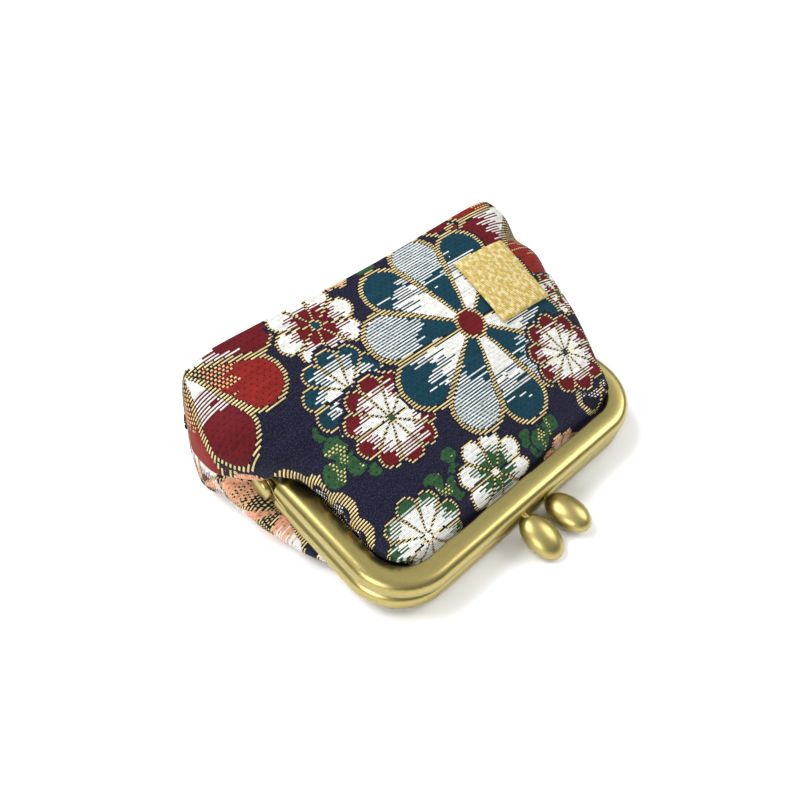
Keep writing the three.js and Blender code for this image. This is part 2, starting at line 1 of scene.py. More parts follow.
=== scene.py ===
import math
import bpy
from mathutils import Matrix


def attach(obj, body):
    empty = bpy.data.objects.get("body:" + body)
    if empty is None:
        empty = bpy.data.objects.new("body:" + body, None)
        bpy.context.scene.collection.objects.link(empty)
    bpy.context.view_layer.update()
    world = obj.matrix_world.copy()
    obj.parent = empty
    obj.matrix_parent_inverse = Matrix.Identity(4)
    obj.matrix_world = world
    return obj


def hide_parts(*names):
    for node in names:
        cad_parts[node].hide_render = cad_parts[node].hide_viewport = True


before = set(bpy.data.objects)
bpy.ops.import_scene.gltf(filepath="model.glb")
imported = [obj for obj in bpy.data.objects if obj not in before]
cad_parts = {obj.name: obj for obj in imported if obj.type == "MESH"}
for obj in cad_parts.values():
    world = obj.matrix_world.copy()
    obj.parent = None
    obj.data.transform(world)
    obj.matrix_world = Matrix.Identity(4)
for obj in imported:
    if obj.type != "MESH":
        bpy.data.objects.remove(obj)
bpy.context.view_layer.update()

from types import SimpleNamespace

import bmesh
import bpy
import numpy as np
from bpy.props import FloatProperty, FloatVectorProperty, PointerProperty
from mathutils import Matrix, Vector
from mathutils.bvhtree import BVHTree

bl_info = {
    "name": "Brocade Purse",
    "version": (1, 0, 0),
    "blender": (4, 5, 0),
    "location": "View3D > Sidebar > Purse",
    "description": "Builds a brocade coin purse with a brass clasp, lying on its back",
    "category": "Object",
}

MM = 0.001

# How the purse lies: its clasp's closing plane is tipped about X, and the clasp's middle is here
LYING_TIP = math.radians(15.914119)
LYING_PLACE = (-0.023674, -27.602389, 5.036073)


# Sizes and colours


def length(name, default, description):
    return FloatProperty(name=name, default=default * MM, min=0, unit="LENGTH", precision=5,
                         description=description)


def colour(name, default, description):
    return FloatVectorProperty(name=name, default=default, subtype="COLOR", size=3, min=0, max=1,
                               description=description)


class ClaspSizes(bpy.types.PropertyGroup):
    width: length("Width", 84, "Width of the clasp over its arms")
    hinge_depth: length("Hinge depth", 41, "From the mouth's outer line to the rivets")
    corner_radius: length("Corner radius", 13.6, "Outer radius of the clasp's corners")
    band_width: length("Band width", 5.6, "Width of the clasp's band")
    half_height: length("Half height", 5.1, "From the closing plane to the top of one half")
    closing_gap: length("Closing gap", 0.3, "Gap between the closed halves")
    web_width: length("Web width", 2.6, "Metal between the outer line and the cloth's slot")
    slot_middle: length("Slot middle", 2.6, "Height of the slot's middle over the closing plane")
    bead_radius: length("Bead radius", 2.3, "Radius of the bead along the outer edge")
    lip_radius: length("Lip radius", 0.6, "Radius of the inner lip")
    arm_setback: length("Arm setback", 3.8, "From the end of an arm to the rivet's middle")
    ear_thickness: length("Ear thickness", 0.8, "Thickness of the hinge ears")
    ear_radius: length("Ear radius", 2.7, "Radius of the hinge ears")
    outer_ear_inset: length("Outer ear inset", 0.4, "Inset of the outer ears")
    inner_ear_inset: length("Inner ear inset", 1.5, "Inset of the inner ears")
    clearance: length("Clearance", 0.3, "Gap between pieces")


class FittingSizes(bpy.types.PropertyGroup):
    knob_length: length("Knob length", 11.4, "Length of an olive knob")
    knob_width: length("Knob width", 7.6, "Width of an olive knob")
    knob_thickness: length("Knob thickness", 5.7, "Thickness of an olive knob")
    knob_spacing: length("Knob spacing", 9.1, "Distance between the knobs' middles")
    knob_reach: length("Knob reach", 5.5, "From the mouth's outer line to a knob's middle")
    stem_diameter: length("Stem diameter", 1.4, "Diameter of a knob's stem")
    stem_depth: length("Stem depth", 1.1, "Depth of a stem in the bead")
    stem_height: length("Stem height", 1.6, "Height of a stem over the closing plane")
    rivet_head: length("Rivet head", 5.8, "Diameter of a rivet's head")
    rivet_head_thickness: length("Rivet head thickness", 1.4, "Thickness of a rivet's head")
    rivet_inner_head: length("Rivet inner head", 3.8, "Diameter of a rivet's inner head")
    rivet_shank: length("Rivet shank", 1.8, "Diameter of a rivet's shank")
    rivet_length: length("Rivet length", 3.6, "From a rivet's top to its inner end")


class BagSizes(bpy.types.PropertyGroup):
    cloth: length("Cloth", 1, "Thickness of the cloth with its lining")
    depth: length("Depth", 62.3, "From the mouth's outer line to the bottom crease")
    thickness: length("Thickness", 46, "Thickness of the bag at its bottom")
    width: length("Width", 102, "Width of the bag at its fullest")
    bottom_width: length("Bottom width", 91, "Width of the bag at its bottom crease")
    bulge: length("Bulge", 2, "How far the bottom stands out past the crease")
    seam_gap: length("Seam gap", 0.3, "Gap between the two panels")
    seam_start: length("Seam start", 46, "Depth at which the side seams start")
    notch_drop: length("Notch drop", 2.2, "Fall of the cloth's lip beside the hinge")
    label_width: length("Label width", 17, "Width of the woven label")
    label_length: length("Label length", 17.4, "Length of the woven label")
    label_thickness: length("Label thickness", 0.6, "Thickness of the woven label")
    label_x: length("Label X", 29, "Label's middle, across the bag")
    label_y: length("Label Y", 41.7, "Label's middle, along the bag")


class PurseColours(bpy.types.PropertyGroup):
    brass: colour("Brass", (0.46, 0.385, 0.14), "Clasp, knobs and rivets")
    tarnish: colour("Tarnish", (0.16, 0.12, 0.05), "Darkened brass in the recesses")
    ground: colour("Ground", (0.006, 0.006, 0.020), "Satin ground of the brocade")
    red: colour("Red", (0.125, 0.006, 0.010), "Dark red silk")
    scarlet: colour("Scarlet", (0.24, 0.014, 0.010), "Brighter red silk")
    teal: colour("Teal", (0.004, 0.042, 0.066), "Blue silk")
    white: colour("White", (0.76, 0.76, 0.72), "White silk")
    stripe: colour("Stripe", (0.70, 0.74, 0.73), "Pale blue silk")
    green: colour("Green", (0.025, 0.085, 0.03), "Green silk")
    peach: colour("Peach", (0.75, 0.36, 0.22), "Peach silk")
    gold: colour("Gold", (0.70, 0.55, 0.24), "Gold thread")
    dark: colour("Dark", (0.008, 0.008, 0.018), "Dark silk between the gold threads")
    label_gold: colour("Label gold", (0.52, 0.36, 0.07), "Woven label")
    lining: colour("Lining", (0.10, 0.02, 0.02), "Lining of the bag")


def in_millimetres(group):
    """The lengths of a property group as plain numbers in millimetres."""
    names = [name for name in group.bl_rna.properties.keys() if name not in ("rna_type", "name")]
    return SimpleNamespace(**{name: getattr(group, name) / MM for name in names})


# Modelling helpers


def deselect():
    if bpy.context.object and bpy.context.object.mode != "OBJECT":
        bpy.ops.object.mode_set(mode="OBJECT")
    bpy.ops.object.select_all(action="DESELECT")


def lying_matrix():
    return (Matrix.Translation(Vector(LYING_PLACE) * MM) @ Matrix.Rotation(LYING_TIP, 4, "X"))


def lay_down(piece):
    """Turns a piece from the clasp's own axes to the way the purse lies."""
    deselect()
    piece.select_set(True)
    bpy.context.view_layer.objects.active = piece
    piece.matrix_world = lying_matrix() @ piece.matrix_world
    bpy.ops.object.transform_apply(location=True, rotation=True, scale=True)


def outline_face(points, name):
    """A face with the given corners, shaped from a filled circle, left in edit mode."""
    deselect()
    bpy.ops.mesh.primitive_circle_add(vertices=len(points), radius=MM, fill_type="NGON")
    piece = bpy.context.object
    piece.name = name
    piece.data.name = name
    for vertex, point in zip(piece.data.vertices, points):
        vertex.co = point
    bpy.ops.object.mode_set(mode="EDIT")
    bpy.ops.mesh.select_all(action="SELECT")
    return piece


def grow(shift):
    bpy.ops.mesh.extrude_region_move(TRANSFORM_OT_translate={"value": shift})


def close_piece(piece, angle=35):
    """Leaves edit mode with faces that point outwards and smooth shading over gentle edges."""
    bpy.ops.mesh.select_all(action="SELECT")
    bpy.ops.mesh.remove_doubles(threshold=0.01 * MM)
    bpy.ops.mesh.normals_make_consistent(inside=False)
    bpy.ops.object.mode_set(mode="OBJECT")
    bpy.ops.object.shade_smooth_by_angle(angle=math.radians(angle))
    return piece


def round_edges(piece, width, segments=3, angle=40):
    bevel = piece.modifiers.new("Rounded edges", "BEVEL")
    bevel.width = width * MM
    bevel.segments = segments
    bevel.limit_method = "ANGLE"
    bevel.angle_limit = math.radians(angle)
    bevel.use_clamp_overlap = True
    bpy.context.view_layer.objects.active = piece
    bpy.ops.object.modifier_apply(modifier=bevel.name)


def finish_piece(piece, material, slot, *nodes):
    piece.data.materials.clear()
    piece.data.materials.append(material)
    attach(piece, "root")
    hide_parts(*nodes)


# Clasp

# Channel: half of the cloth that its slot takes, in millimetres, how far the middle of its lip
# lies under the top, in radii of the lip, and where the lip's arc starts, in half turns
SLOT_HALF_CLOTH = 0.5
LIP_DROP = 1.4
LIP_START = 0.42
CORNER_STEPS = 20

# Hinge ears, in millimetres: length, half height and slope of the root on the arm, and the
# rounding of the edges; the arc round the rivet is in half turns
EAR_ROOT_LENGTH = 4
EAR_ROOT_HALF_HEIGHT = 1.4
EAR_ROOT_SLOPE = 0.2
EAR_ROUNDING = 0.12
EAR_ARC = (0.6, -0.88)
EAR_ARC_STEPS = 28


def arc(centre_inset, centre_height, radius, start, end, steps):
    """Points on an arc whose start and end are given in half turns."""
    return [
        (
            centre_inset + radius * math.cos(math.pi * (start + (end - start) * i / steps)),
            centre_height + radius * math.sin(math.pi * (start + (end - start) * i / steps)),
        )
        for i in range(steps + 1)
    ]


def channel_section(clasp):
    """Inset and height of one half's section: a bead, a domed band, a lip and the slot."""
    closing = clasp.closing_gap / 2
    bead_top = clasp.half_height - clasp.bead_radius
    lip = clasp.band_width - clasp.lip_radius
    slot_half = clasp.clearance * 1.5 + SLOT_HALF_CLOTH
    section = arc(clasp.bead_radius, clasp.bead_radius + closing, clasp.bead_radius, 1.5, 1.0, 7)
    section += arc(clasp.bead_radius, bead_top, clasp.bead_radius, 1.0, 0.5, 8)[1:]
    lip_height = clasp.half_height - LIP_DROP * clasp.lip_radius
    section += arc(lip, lip_height, clasp.lip_radius, LIP_START, 0, 4)
    section += [
        (clasp.band_width, clasp.slot_middle + slot_half),
        (clasp.web_width, clasp.slot_middle + slot_half),
        (clasp.web_width, clasp.slot_middle - slot_half),
        (clasp.band_width, clasp.slot_middle - slot_half),
        (clasp.band_width, closing + clasp.lip_radius),
        (lip, closing),
    ]
    return section


def swept_half(clasp, side):
    """One half's channel, drawn along the left arm, round the bar and down the right arm."""
    half = clasp.width / 2
    arm_end = clasp.hinge_depth - clasp.arm_setback
    radius = clasp.corner_radius
    points = [
        ((-half + inset) * MM, arm_end * MM, side * height * MM)
        for inset, height in channel_section(clasp)
    ]
    name = "clasp_front" if side > 0 else "clasp_back"
    piece = outline_face(points, name)
    grow((0, (radius - arm_end) * MM, 0))
    bpy.ops.mesh.spin(steps=CORNER_STEPS, angle=-math.pi / 2, axis=(0, 0, 1),
                      center=((radius - half) * MM, radius * MM, 0))
    grow(((clasp.width - 2 * radius) * MM, 0, 0))
    bpy.ops.mesh.spin(steps=CORNER_STEPS, angle=-math.pi / 2, axis=(0, 0, 1),
                      center=((half - radius) * MM, radius * MM, 0))
    grow((0, (arm_end - radius) * MM, 0))
    return close_piece(piece)


def hinge_ear(clasp, side, half_sign, inset):
    """Flat ear that carries an arm round the rivet."""
    arm_end = clasp.hinge_depth - clasp.arm_setback
    root_start = arm_end - EAR_ROOT_LENGTH
    root_top = clasp.slot_middle + EAR_ROOT_HALF_HEIGHT
    outline = [
        (root_start, clasp.slot_middle - EAR_ROOT_HALF_HEIGHT),
        (root_start, root_top),
        (arm_end, root_top - EAR_ROOT_SLOPE),
    ]
    outline += arc(clasp.hinge_depth, 0, clasp.ear_radius, *EAR_ARC, EAR_ARC_STEPS)
    outline += [(arm_end, clasp.closing_gap / 2 + clasp.clearance)]
    face = side * (clasp.width / 2 - inset)
    points = [(face * MM, y * MM, half_sign * z * MM) for y, z in outline]
    piece = outline_face(points, "ear")
    grow((-side * clasp.ear_thickness * MM, 0, 0))
    close_piece(piece)
    round_edges(piece, EAR_ROUNDING, segments=2, angle=50)
    return piece


class PURSE_OT_clasp(bpy.types.Operator):
    """Build the two halves of the clasp with their hinge ears"""

    bl_idname = "purse.clasp"
    bl_label = "Clasp"

    def execute(self, context):
        clasp = in_millimetres(context.scene.purse_clasp)
        brass = brass_material(context.scene.purse_colours)
        for half_sign, node in ((1, "frame_front"), (-1, "frame_back")):
            inset = clasp.inner_ear_inset if half_sign > 0 else clasp.outer_ear_inset
            piece = swept_half(clasp, half_sign)
            ears = [hinge_ear(clasp, side, half_sign, inset) for side in (-1, 1)]
            deselect()
            for ear in ears:
                ear.select_set(True)
            piece.select_set(True)
            context.view_layer.objects.active = piece
            bpy.ops.object.join()
            lay_down(piece)
            finish_piece(piece, brass, "brass", node)
        return {"FINISHED"}


# Knobs and rivets

# Knobs: how far each leans towards the other half, and the rounding of its stem's end
KNOB_LEAN = math.radians(9)
STEM_ROUNDING = 0.1

# Rivets: flat share of the inner head, its thickness and its chamfer, in millimetres, and the
# broad head's profile, as shares of its radius with the height over its underside for the side
# and the depth below its top for the dome
INNER_HEAD_FLAT = 0.8
INNER_HEAD_THICKNESS = 0.8
INNER_HEAD_CHAMFER = 0.3
HEAD_SIDE = ((0.96, 0), (1, 0.1), (1, 0.55))
HEAD_DOME = ((0.95, 0.42), (0.86, 0.2), (0.7, 0.1), (0.4, 0.02), (0, 0))


def olive_knob(fitting, half_sign):
    """An olive drop on its short stem, leaning towards the other half."""
    deselect()
    bpy.ops.mesh.primitive_uv_sphere_add(segments=64, ring_count=40, radius=0.5)
    knob = bpy.context.object
    knob.name = "olive_knob"
    bpy.ops.object.mode_set(mode="EDIT")
    bpy.ops.mesh.select_all(action="SELECT")
    bpy.ops.transform.resize(value=(
        fitting.knob_width * MM, fitting.knob_length * MM, fitting.knob_thickness * MM,
    ))
    bpy.ops.transform.rotate(value=-half_sign * KNOB_LEAN, orient_axis="X",
                             center_override=(0, 0, 0))
    bpy.ops.object.mode_set(mode="OBJECT")
    x = -half_sign * fitting.knob_spacing / 2
    knob.location = (x * MM, -fitting.knob_reach * MM, 0)
    bpy.ops.object.transform_apply(location=True, rotation=True, scale=True)
    bpy.ops.object.shade_smooth()
    stem_length = fitting.stem_depth + fitting.knob_reach / 2
    deselect()
    bpy.ops.mesh.primitive_cylinder_add(
        vertices=24, radius=fitting.stem_diameter / 2 * MM, depth=stem_length * MM,
        location=(x * MM, (fitting.stem_depth - stem_length / 2) * MM,
                  half_sign * fitting.stem_height * MM),
        rotation=(math.pi / 2, 0, 0),
    )
    stem = bpy.context.object
    bpy.ops.object.transform_apply(location=True, rotation=True, scale=True)
    round_edges(stem, STEM_ROUNDING, segments=2)
    bpy.ops.object.shade_smooth_by_angle(angle=math.radians(40))
    knob.select_set(True)
    bpy.context.view_layer.objects.active = knob
    bpy.ops.object.join()
    knob.name = "olive_knob_front" if half_sign > 0 else "olive_knob_back"
    return knob


class PURSE_OT_knobs(bpy.types.Operator):
    """Build the two olive knobs that snap past each other"""

    bl_idname = "purse.knobs"
    bl_label = "Knobs"

    def execute(self, context):
        fitting = in_millimetres(context.scene.purse_fittings)
        brass = knob_material(context.scene.purse_colours)
        for half_sign, node in ((1, "knob_front"), (-1, "knob_back")):
            knob = olive_knob(fitting, half_sign)
            lay_down(knob)
            finish_piece(knob, brass, "brass", node)
        return {"FINISHED"}


def hinge_rivet(clasp, fitting, side):
    """A rivet turned round its axis: a broad domed head, a shank and a small inner head."""
    head = fitting.rivet_head / 2
    inner = fitting.rivet_inner_head / 2
    shank = fitting.rivet_shank / 2
    top = clasp.clearance - clasp.outer_ear_inset + fitting.rivet_head_thickness
    face = top - fitting.rivet_head_thickness
    low = top - fitting.rivet_length - INNER_HEAD_THICKNESS
    inner_face = low + INNER_HEAD_THICKNESS
    profile = [
        (0, low), (inner * INNER_HEAD_FLAT, low), (inner, low + INNER_HEAD_CHAMFER),
        (inner, inner_face), (shank, inner_face), (shank, face),
    ]
    profile += [(head * share, face + height) for share, height in HEAD_SIDE]
    profile += [(head * share, top - depth) for share, depth in HEAD_DOME]
    deselect()
    bpy.ops.mesh.primitive_circle_add(vertices=len(profile), radius=MM, fill_type="NOTHING")
    piece = bpy.context.object
    piece.name = "rivet_left" if side < 0 else "rivet_right"
    for vertex, (radius, along) in zip(piece.data.vertices, profile):
        vertex.co = (side * (clasp.width / 2 + along) * MM, (clasp.hinge_depth + radius) * MM, 0)
    bpy.ops.object.mode_set(mode="EDIT")
    mesh = bmesh.from_edit_mesh(piece.data)
    mesh.edges.ensure_lookup_table()
    axis_edges = [e for e in mesh.edges if all(
        abs(v.co.y - clasp.hinge_depth * MM) < 1e-6 for v in e.verts)]
    bmesh.ops.delete(mesh, geom=axis_edges, context="EDGES")
    bmesh.update_edit_mesh(piece.data)
    bpy.ops.mesh.select_all(action="SELECT")
    bpy.ops.mesh.spin(steps=48, angle=2 * math.pi, axis=(1, 0, 0),
                      center=(0, clasp.hinge_depth * MM, 0))
    return close_piece(piece)


class PURSE_OT_rivets(bpy.types.Operator):
    """Build the rivets of the two hinges"""

    bl_idname = "purse.rivets"
    bl_label = "Rivets"

    def execute(self, context):
        clasp = in_millimetres(context.scene.purse_clasp)
        fitting = in_millimetres(context.scene.purse_fittings)
        brass = brass_material(context.scene.purse_colours)
        for side, node in ((-1, "hinge_rivet_left"), (1, "hinge_rivet_right")):
            rivet = hinge_rivet(clasp, fitting, side)
            lay_down(rivet)
            finish_piece(rivet, brass, "brass", node)
        return {"FINISHED"}


# Bag

# Lie of a panel from the mouth to the crease: along is the share of the way, rise the share of
# the height, shoulder the share of the height where the side is fullest, swell the share of the
# full swell, square how far a cross-section is from a box. snug and boxed take the place of
# swell and square on the front panel's left side.
FACE_COLUMNS = ("along", "rise", "shoulder", "swell", "square", "snug", "boxed")
FACE_ROWS = (
    (0.0, 0.0, 0.05, 0.04, 0.9, 0.02, 0.9),
    (0.05, 0.1, 0.06, 0.08, 0.9, 0.025, 0.86),
    (0.13, 0.24, 0.08, 0.2, 0.88, 0.03, 0.8),
    (0.22, 0.37, 0.14, 0.36, 0.85, 0.04, 0.74),
    (0.36, 0.54, 0.21, 0.57, 0.8, 0.07, 0.66),
    (0.5, 0.68, 0.21, 0.72, 0.74, 0.25, 0.6),
    (0.6, 0.77, 0.18, 0.84, 0.68, 0.6, 0.56),
    (0.7, 0.85, 0.17, 0.98, 0.6, 0.92, 0.52),
    (0.78, 0.91, 0.16, 1.0, 0.52, 1.0, 0.46),
    (0.86, 0.96, 0.13, 0.93, 0.37, 0.96, 0.35),
    (0.93, 0.99, 0.07, 0.79, 0.24, 0.8, 0.24),
    (1.0, 1.0, 0.02, 0.61, 0.14, 0.61, 0.14),
)

# Sides of the panels: how full each is, and the table's columns that it follows
FULL_SIDE = (1.0, "swell", "square")
SNUG_SIDE = (1.0, "snug", "boxed")
BACK_SIDE = (0.8, "swell", "square")

# Cloth's edge in the notch beside the hinge: out towards the seam, open above the closing plane
NOTCH_COLUMNS = ("along", "out", "open")
NOTCH_ROWS = (
    (0.0, 0.0, 1.0),
    (0.12, 0.0, 1.0),
    (0.32, 0.12, 0.85),
    (0.55, 0.22, 0.6),
    (0.8, 0.35, 0.22),
    (1.0, 1.0, 0.0),
)

# Side seam from its start to the crease
SEAM_COLUMNS = ("along", "recess")
SEAM_ROWS = ((0.0, 0.42), (0.25, 0.26), (0.5, 0.18), (0.75, 0.1), (1.0, 0.03))

# Bottom of the bag from the crease to its seam: past the crease, fall of the height
BOTTOM_COLUMNS = ("along", "past", "fall")
BOTTOM_ROWS = (
    (0.0, -0.25, 1.0),
    (0.03, -0.05, 0.985),
    (0.09, 0.25, 0.93),
    (0.22, 0.6, 0.8),
    (0.52, 0.85, 0.5),
    (0.76, 0.95, 0.25),
    (1.0, 1.0, 0.0),
)

# Dents and swells: place and spread as shares, depth as a share of the bag's thickness
FRONT_FOLDS = (
    (0.92, 0.83, 0.6, 0.16, 0.075, 0.055),
    (-0.93, 0.84, 0.62, 0.16, 0.09, 0.03),
    (0.05, 0.96, 1.0, 0.55, 0.16, 0.022),
    (-0.5, 0.4, 0.7, 0.22, 0.3, 0.012),
    (0.5, 0.3, 0.6, 0.2, 0.26, 0.014),
)
BACK_FOLDS = (
    (-0.92, 0.8, 0.55, 0.18, 0.1, 0.04),
    (0.94, 0.78, 0.5, 0.16, 0.09, 0.035),
)

# Points of half a row: on the cloth's edge, on the side's swell and over the face
EDGE_COLUMNS = 5
SWELL_COLUMNS = 24
FACE_POINTS = 74

# Rows: their step, how many the bottom has, those beside the mouth bar's lip (past the slot,
# below the lip's height), and how far the points on that lip are spread, in millimetres
ROW_STEP = 0.6
BOTTOM_ROW_COUNT = 40
MOUTH_ROWS = ((0.25, 1.5), (0.8, 0.2))
MOUTH_SPREAD = 1.3

# Cloth round the clasp's lip, in millimetres: its turn out of the slot, its slack over the lip,
# how far it runs on past it, and where it bends below and beside the lip
SLOT_TURN_RISE = 0.8
LIP_SLACK = 0.1
LIP_RUN = 1.8
LIP_BEND_DROP = 0.4
LIP_BEND_REACH = 0.6

# Where the sides are drawn in towards the bottom's width, as shares of the way to the crease
PINCH_START = 0.7
PINCH_RUN = 0.3

# Where the cloth's lip falls in the notch beside the hinge, as shares of the notch
NOTCH_FALL_START = 0.1
NOTCH_FALL_RUN = 0.25

# Least swell, rise to the shoulder and rise to the middle of a row, in millimetres
LEAST_SWELL = 0.3
LEAST_SHOULDER = 0.3
LEAST_RISE = 0.5

# Spread of the dents over the height
FOLD_HEIGHT_SPREAD = 0.6

# Seams, in millimetres: width over which the wall thins to its edge, and the edge's share of it;
# the distance at which puckers set in, and for each seam their size, pace, sway, the sway's pace
# and how far they reach; and the distance that counts as far from a seam
THIN_WIDTH = 1.3
THIN_SHARE = 0.15
PUCKER_START = 0.5
SIDE_PUCKERS = (0.30, 1.25, 0.6, 0.7, 2.6)
BOTTOM_PUCKERS = (0.22, 1.15, 0.8, 0.37, 2.4)
FAR_FROM_SEAM = 20


def lookup(table, columns, column, along):
    """Smooth interpolation of one column of a table."""
    k = columns.index(column)
    last = len(table) - 1
    at = min(max(along, table[0][0]), table[last][0])
    i = 0
    while i < last - 1 and table[i + 1][0] < at:
        i += 1

    def slope(n):
        before = table[max(n - 1, 0)]
        after = table[min(n + 1, last)]
        return (after[k] - before[k]) / (after[0] - before[0])

    span = table[i + 1][0] - table[i][0]
    t = (at - table[i][0]) / span
    start = table[i][k]
    rise = table[i + 1][k] - start
    bend = (slope(i) * (1 - t) - slope(i + 1) * t) * span - rise * (1 - 2 * t)
    return start + rise * t + t * (1 - t) * bend


def evenly(line, count):
    """Points at even steps along a line, without its first point."""
    steps = np.hypot(*np.diff(line, axis=0).T)
    lengths = np.concatenate([[0], np.cumsum(steps)])
    want = lengths[-1] * np.arange(1, count + 1) / count
    return np.stack([np.interp(want, lengths, line[:, 0]), np.interp(want, lengths, line[:, 1])], 1)


class PanelShape:
    """Form of one cloth panel in the clasp's own axes, in millimetres."""

    def __init__(self, clasp, bag, left_side, right_side, folds):
        self.clasp = clasp
        self.bag = bag
        self.left_side = left_side
        self.right_side = right_side
        self.folds = folds
        self.half_width = clasp.width / 2
        self.half_cloth = bag.cloth / 2
        self.seam_face = bag.seam_gap / 2
        self.arm_end = clasp.hinge_depth - clasp.arm_setback
        self.inset = clasp.band_width + 2 * clasp.clearance + self.half_cloth
        self.slot_exit = clasp.band_width + self.half_cloth
        self.slot_turn = clasp.slot_middle + SLOT_TURN_RISE
        self.lip_height = clasp.half_height + clasp.clearance + self.half_cloth + LIP_SLACK
        self.lip_depth = self.inset + LIP_RUN
        self.folded_top = bag.thickness / 2 - self.half_cloth

    def clasp_half_width(self, inset, y):
        corner = self.clasp.corner_radius
        if y >= corner:
            return self.half_width - inset
        radius = corner - inset
        down = corner - y
        across = math.sqrt(max(radius * radius - down * down, 0))
        return self.half_width - corner + across

    def face_share(self, y):
        return (y - self.lip_depth) / (self.bag.depth - self.lip_depth)

    def face(self, column, y):
        return lookup(FACE_ROWS, FACE_COLUMNS, column, self.face_share(y))

    def fullest(self, y, side):
        fullness, swell_column, _ = side
        lip = self.clasp_half_width(self.inset, y)
        clasp = self.half_width - self.inset
        swell = (self.bag.width / 2 - self.half_cloth - clasp) * fullness
        at_crease = clasp + swell * self.face("swell", self.bag.depth)
        pinched = at_crease - (self.bag.bottom_width / 2 - self.half_cloth)
        share = self.face_share(y)
        pull = (max(share - PINCH_START, 0) / PINCH_RUN) ** 2 * pinched
        return lip + swell * self.face(swell_column, y) - pull

    def seam_half_width(self, y):
        along = (y - self.bag.seam_start) / (self.bag.depth - self.bag.seam_start)
        swell = self.bag.width / 2 - (self.half_width - self.inset)
        return self.fullest(y, FULL_SIDE) - swell * lookup(SEAM_ROWS, SEAM_COLUMNS, "recess", along)

    def edge_of_row(self, y):
        clasp = self.clasp
        slot_turn = [
            (clasp.web_width + clasp.clearance, clasp.slot_middle),
            (self.slot_exit, clasp.slot_middle),
            (self.inset, self.slot_turn),
            (self.inset, clasp.half_height - LIP_BEND_DROP),
            (self.inset - LIP_BEND_REACH, self.lip_height),
        ]
        if y <= self.arm_end - clasp.clearance:
            return np.array([(self.clasp_half_width(inset, y), z) for inset, z in slot_turn])
        seam = self.seam_half_width(max(y, self.bag.seam_start))
        along = (y - self.arm_end) / (self.bag.seam_start - self.arm_end)
        inner = self.half_width - self.inset
        x = inner + (seam - inner) * lookup(NOTCH_ROWS, NOTCH_COLUMNS, "out", along)
        share = lookup(NOTCH_ROWS, NOTCH_COLUMNS, "open", along)
        low = self.seam_face + (clasp.slot_middle - self.seam_face) * share
        t = min(max((along - NOTCH_FALL_START) / NOTCH_FALL_RUN, 0), 1)
        top = self.lip_height - self.bag.notch_drop * t * t * (3 - 2 * t)
        last = EDGE_COLUMNS - 1
        return np.array([(x, low + (top - low) * i / last) for i in range(EDGE_COLUMNS)])

    def half_row(self, y, side):
        """Half a cross-section: the edge, out to the fullest line, then over to the middle."""
        edge = self.edge_of_row(y)
        lip_x, lip_z = edge[-1]
        height = self.lip_height + (self.folded_top - self.lip_height) * self.face("rise", y)
        widest = max(self.fullest(y, side), lip_x + LEAST_SWELL)
        shoulder = lip_z + max((height - lip_z) * self.face("shoulder", y), LEAST_SHOULDER)
        height = max(height, lip_z + LEAST_RISE)
        square = self.face(side[2], y)
        turn = np.linspace(0, math.pi / 2, 49)
        swell = np.stack([
            lip_x + (widest - lip_x) * np.sin(turn),
            shoulder - (shoulder - lip_z) * np.cos(turn),
        ], 1)
        turn = np.linspace(0, math.pi / 2, 161)
        over = np.stack([
            widest * np.maximum(np.cos(turn), 0) ** square,
            shoulder + (height - shoulder) * np.sin(turn) ** square,
        ], 1)
        over[-1, 0] = 0
        return np.vstack([edge, evenly(swell, SWELL_COLUMNS), evenly(over, FACE_POINTS)])

    def slot_row(self, y):
        wide = self.clasp_half_width(self.clasp.web_width + self.clasp.clearance, y)
        flat = self.half_width - self.clasp.corner_radius
        count = EDGE_COLUMNS + SWELL_COLUMNS + FACE_POINTS
        out = [wide - (wide - flat) * i / EDGE_COLUMNS for i in range(EDGE_COLUMNS)]
        out += [flat * (1 - i / (count - EDGE_COLUMNS - 1)) for i in range(count - EDGE_COLUMNS)]
        return np.array([(x, self.clasp.slot_middle) for x in out])

    def rows(self, side):
        """The panel's rows from the mouth bar's slot to the seam in the bag's bottom."""
        clasp = self.clasp
        rows = []
        for y in (clasp.web_width + clasp.clearance, self.slot_exit):
            rows.append((y, self.slot_row(y)))
        mouth = [(0, self.slot_turn)]
        mouth += [(past, self.lip_height - below) for past, below in MOUTH_ROWS]
        for past, height in mouth:
            y = self.inset + past
            half = self.half_row(y, side)
            held = half[:, 1] >= height
            number = np.cumsum(held) * MOUTH_SPREAD / (SWELL_COLUMNS + FACE_POINTS)
            limit = self.clasp_half_width(self.inset, y)
            half[held, 0] = np.minimum(half[held, 0], limit - number[held])
            half[held, 1] = height
            rows.append((y, half))
        stretches = (
            (self.lip_depth, self.arm_end - clasp.clearance - 0.1, 0),
            (self.arm_end + 1, self.bag.seam_start, 0),
            (self.bag.seam_start, self.bag.depth - 1, 1),
        )
        for start, end, first in stretches:
            count = round((end - start) / ROW_STEP)
            for i in range(first, count + 1):
                y = start + (end - start) * i / count
                rows.append((y, self.half_row(y, side)))
        crease = self.half_row(self.bag.depth, side)
        for i in range(1, BOTTOM_ROW_COUNT + 1):
            along = i / BOTTOM_ROW_COUNT
            past = lookup(BOTTOM_ROWS, BOTTOM_COLUMNS, "past", along)
            fall = lookup(BOTTOM_ROWS, BOTTOM_COLUMNS, "fall", along)
            half = crease.copy()
            half[:, 1] = self.seam_face + (half[:, 1] - self.seam_face) * fall
            rows.append((self.bag.depth + self.bag.bulge * past - self.half_cloth, half))
        return rows

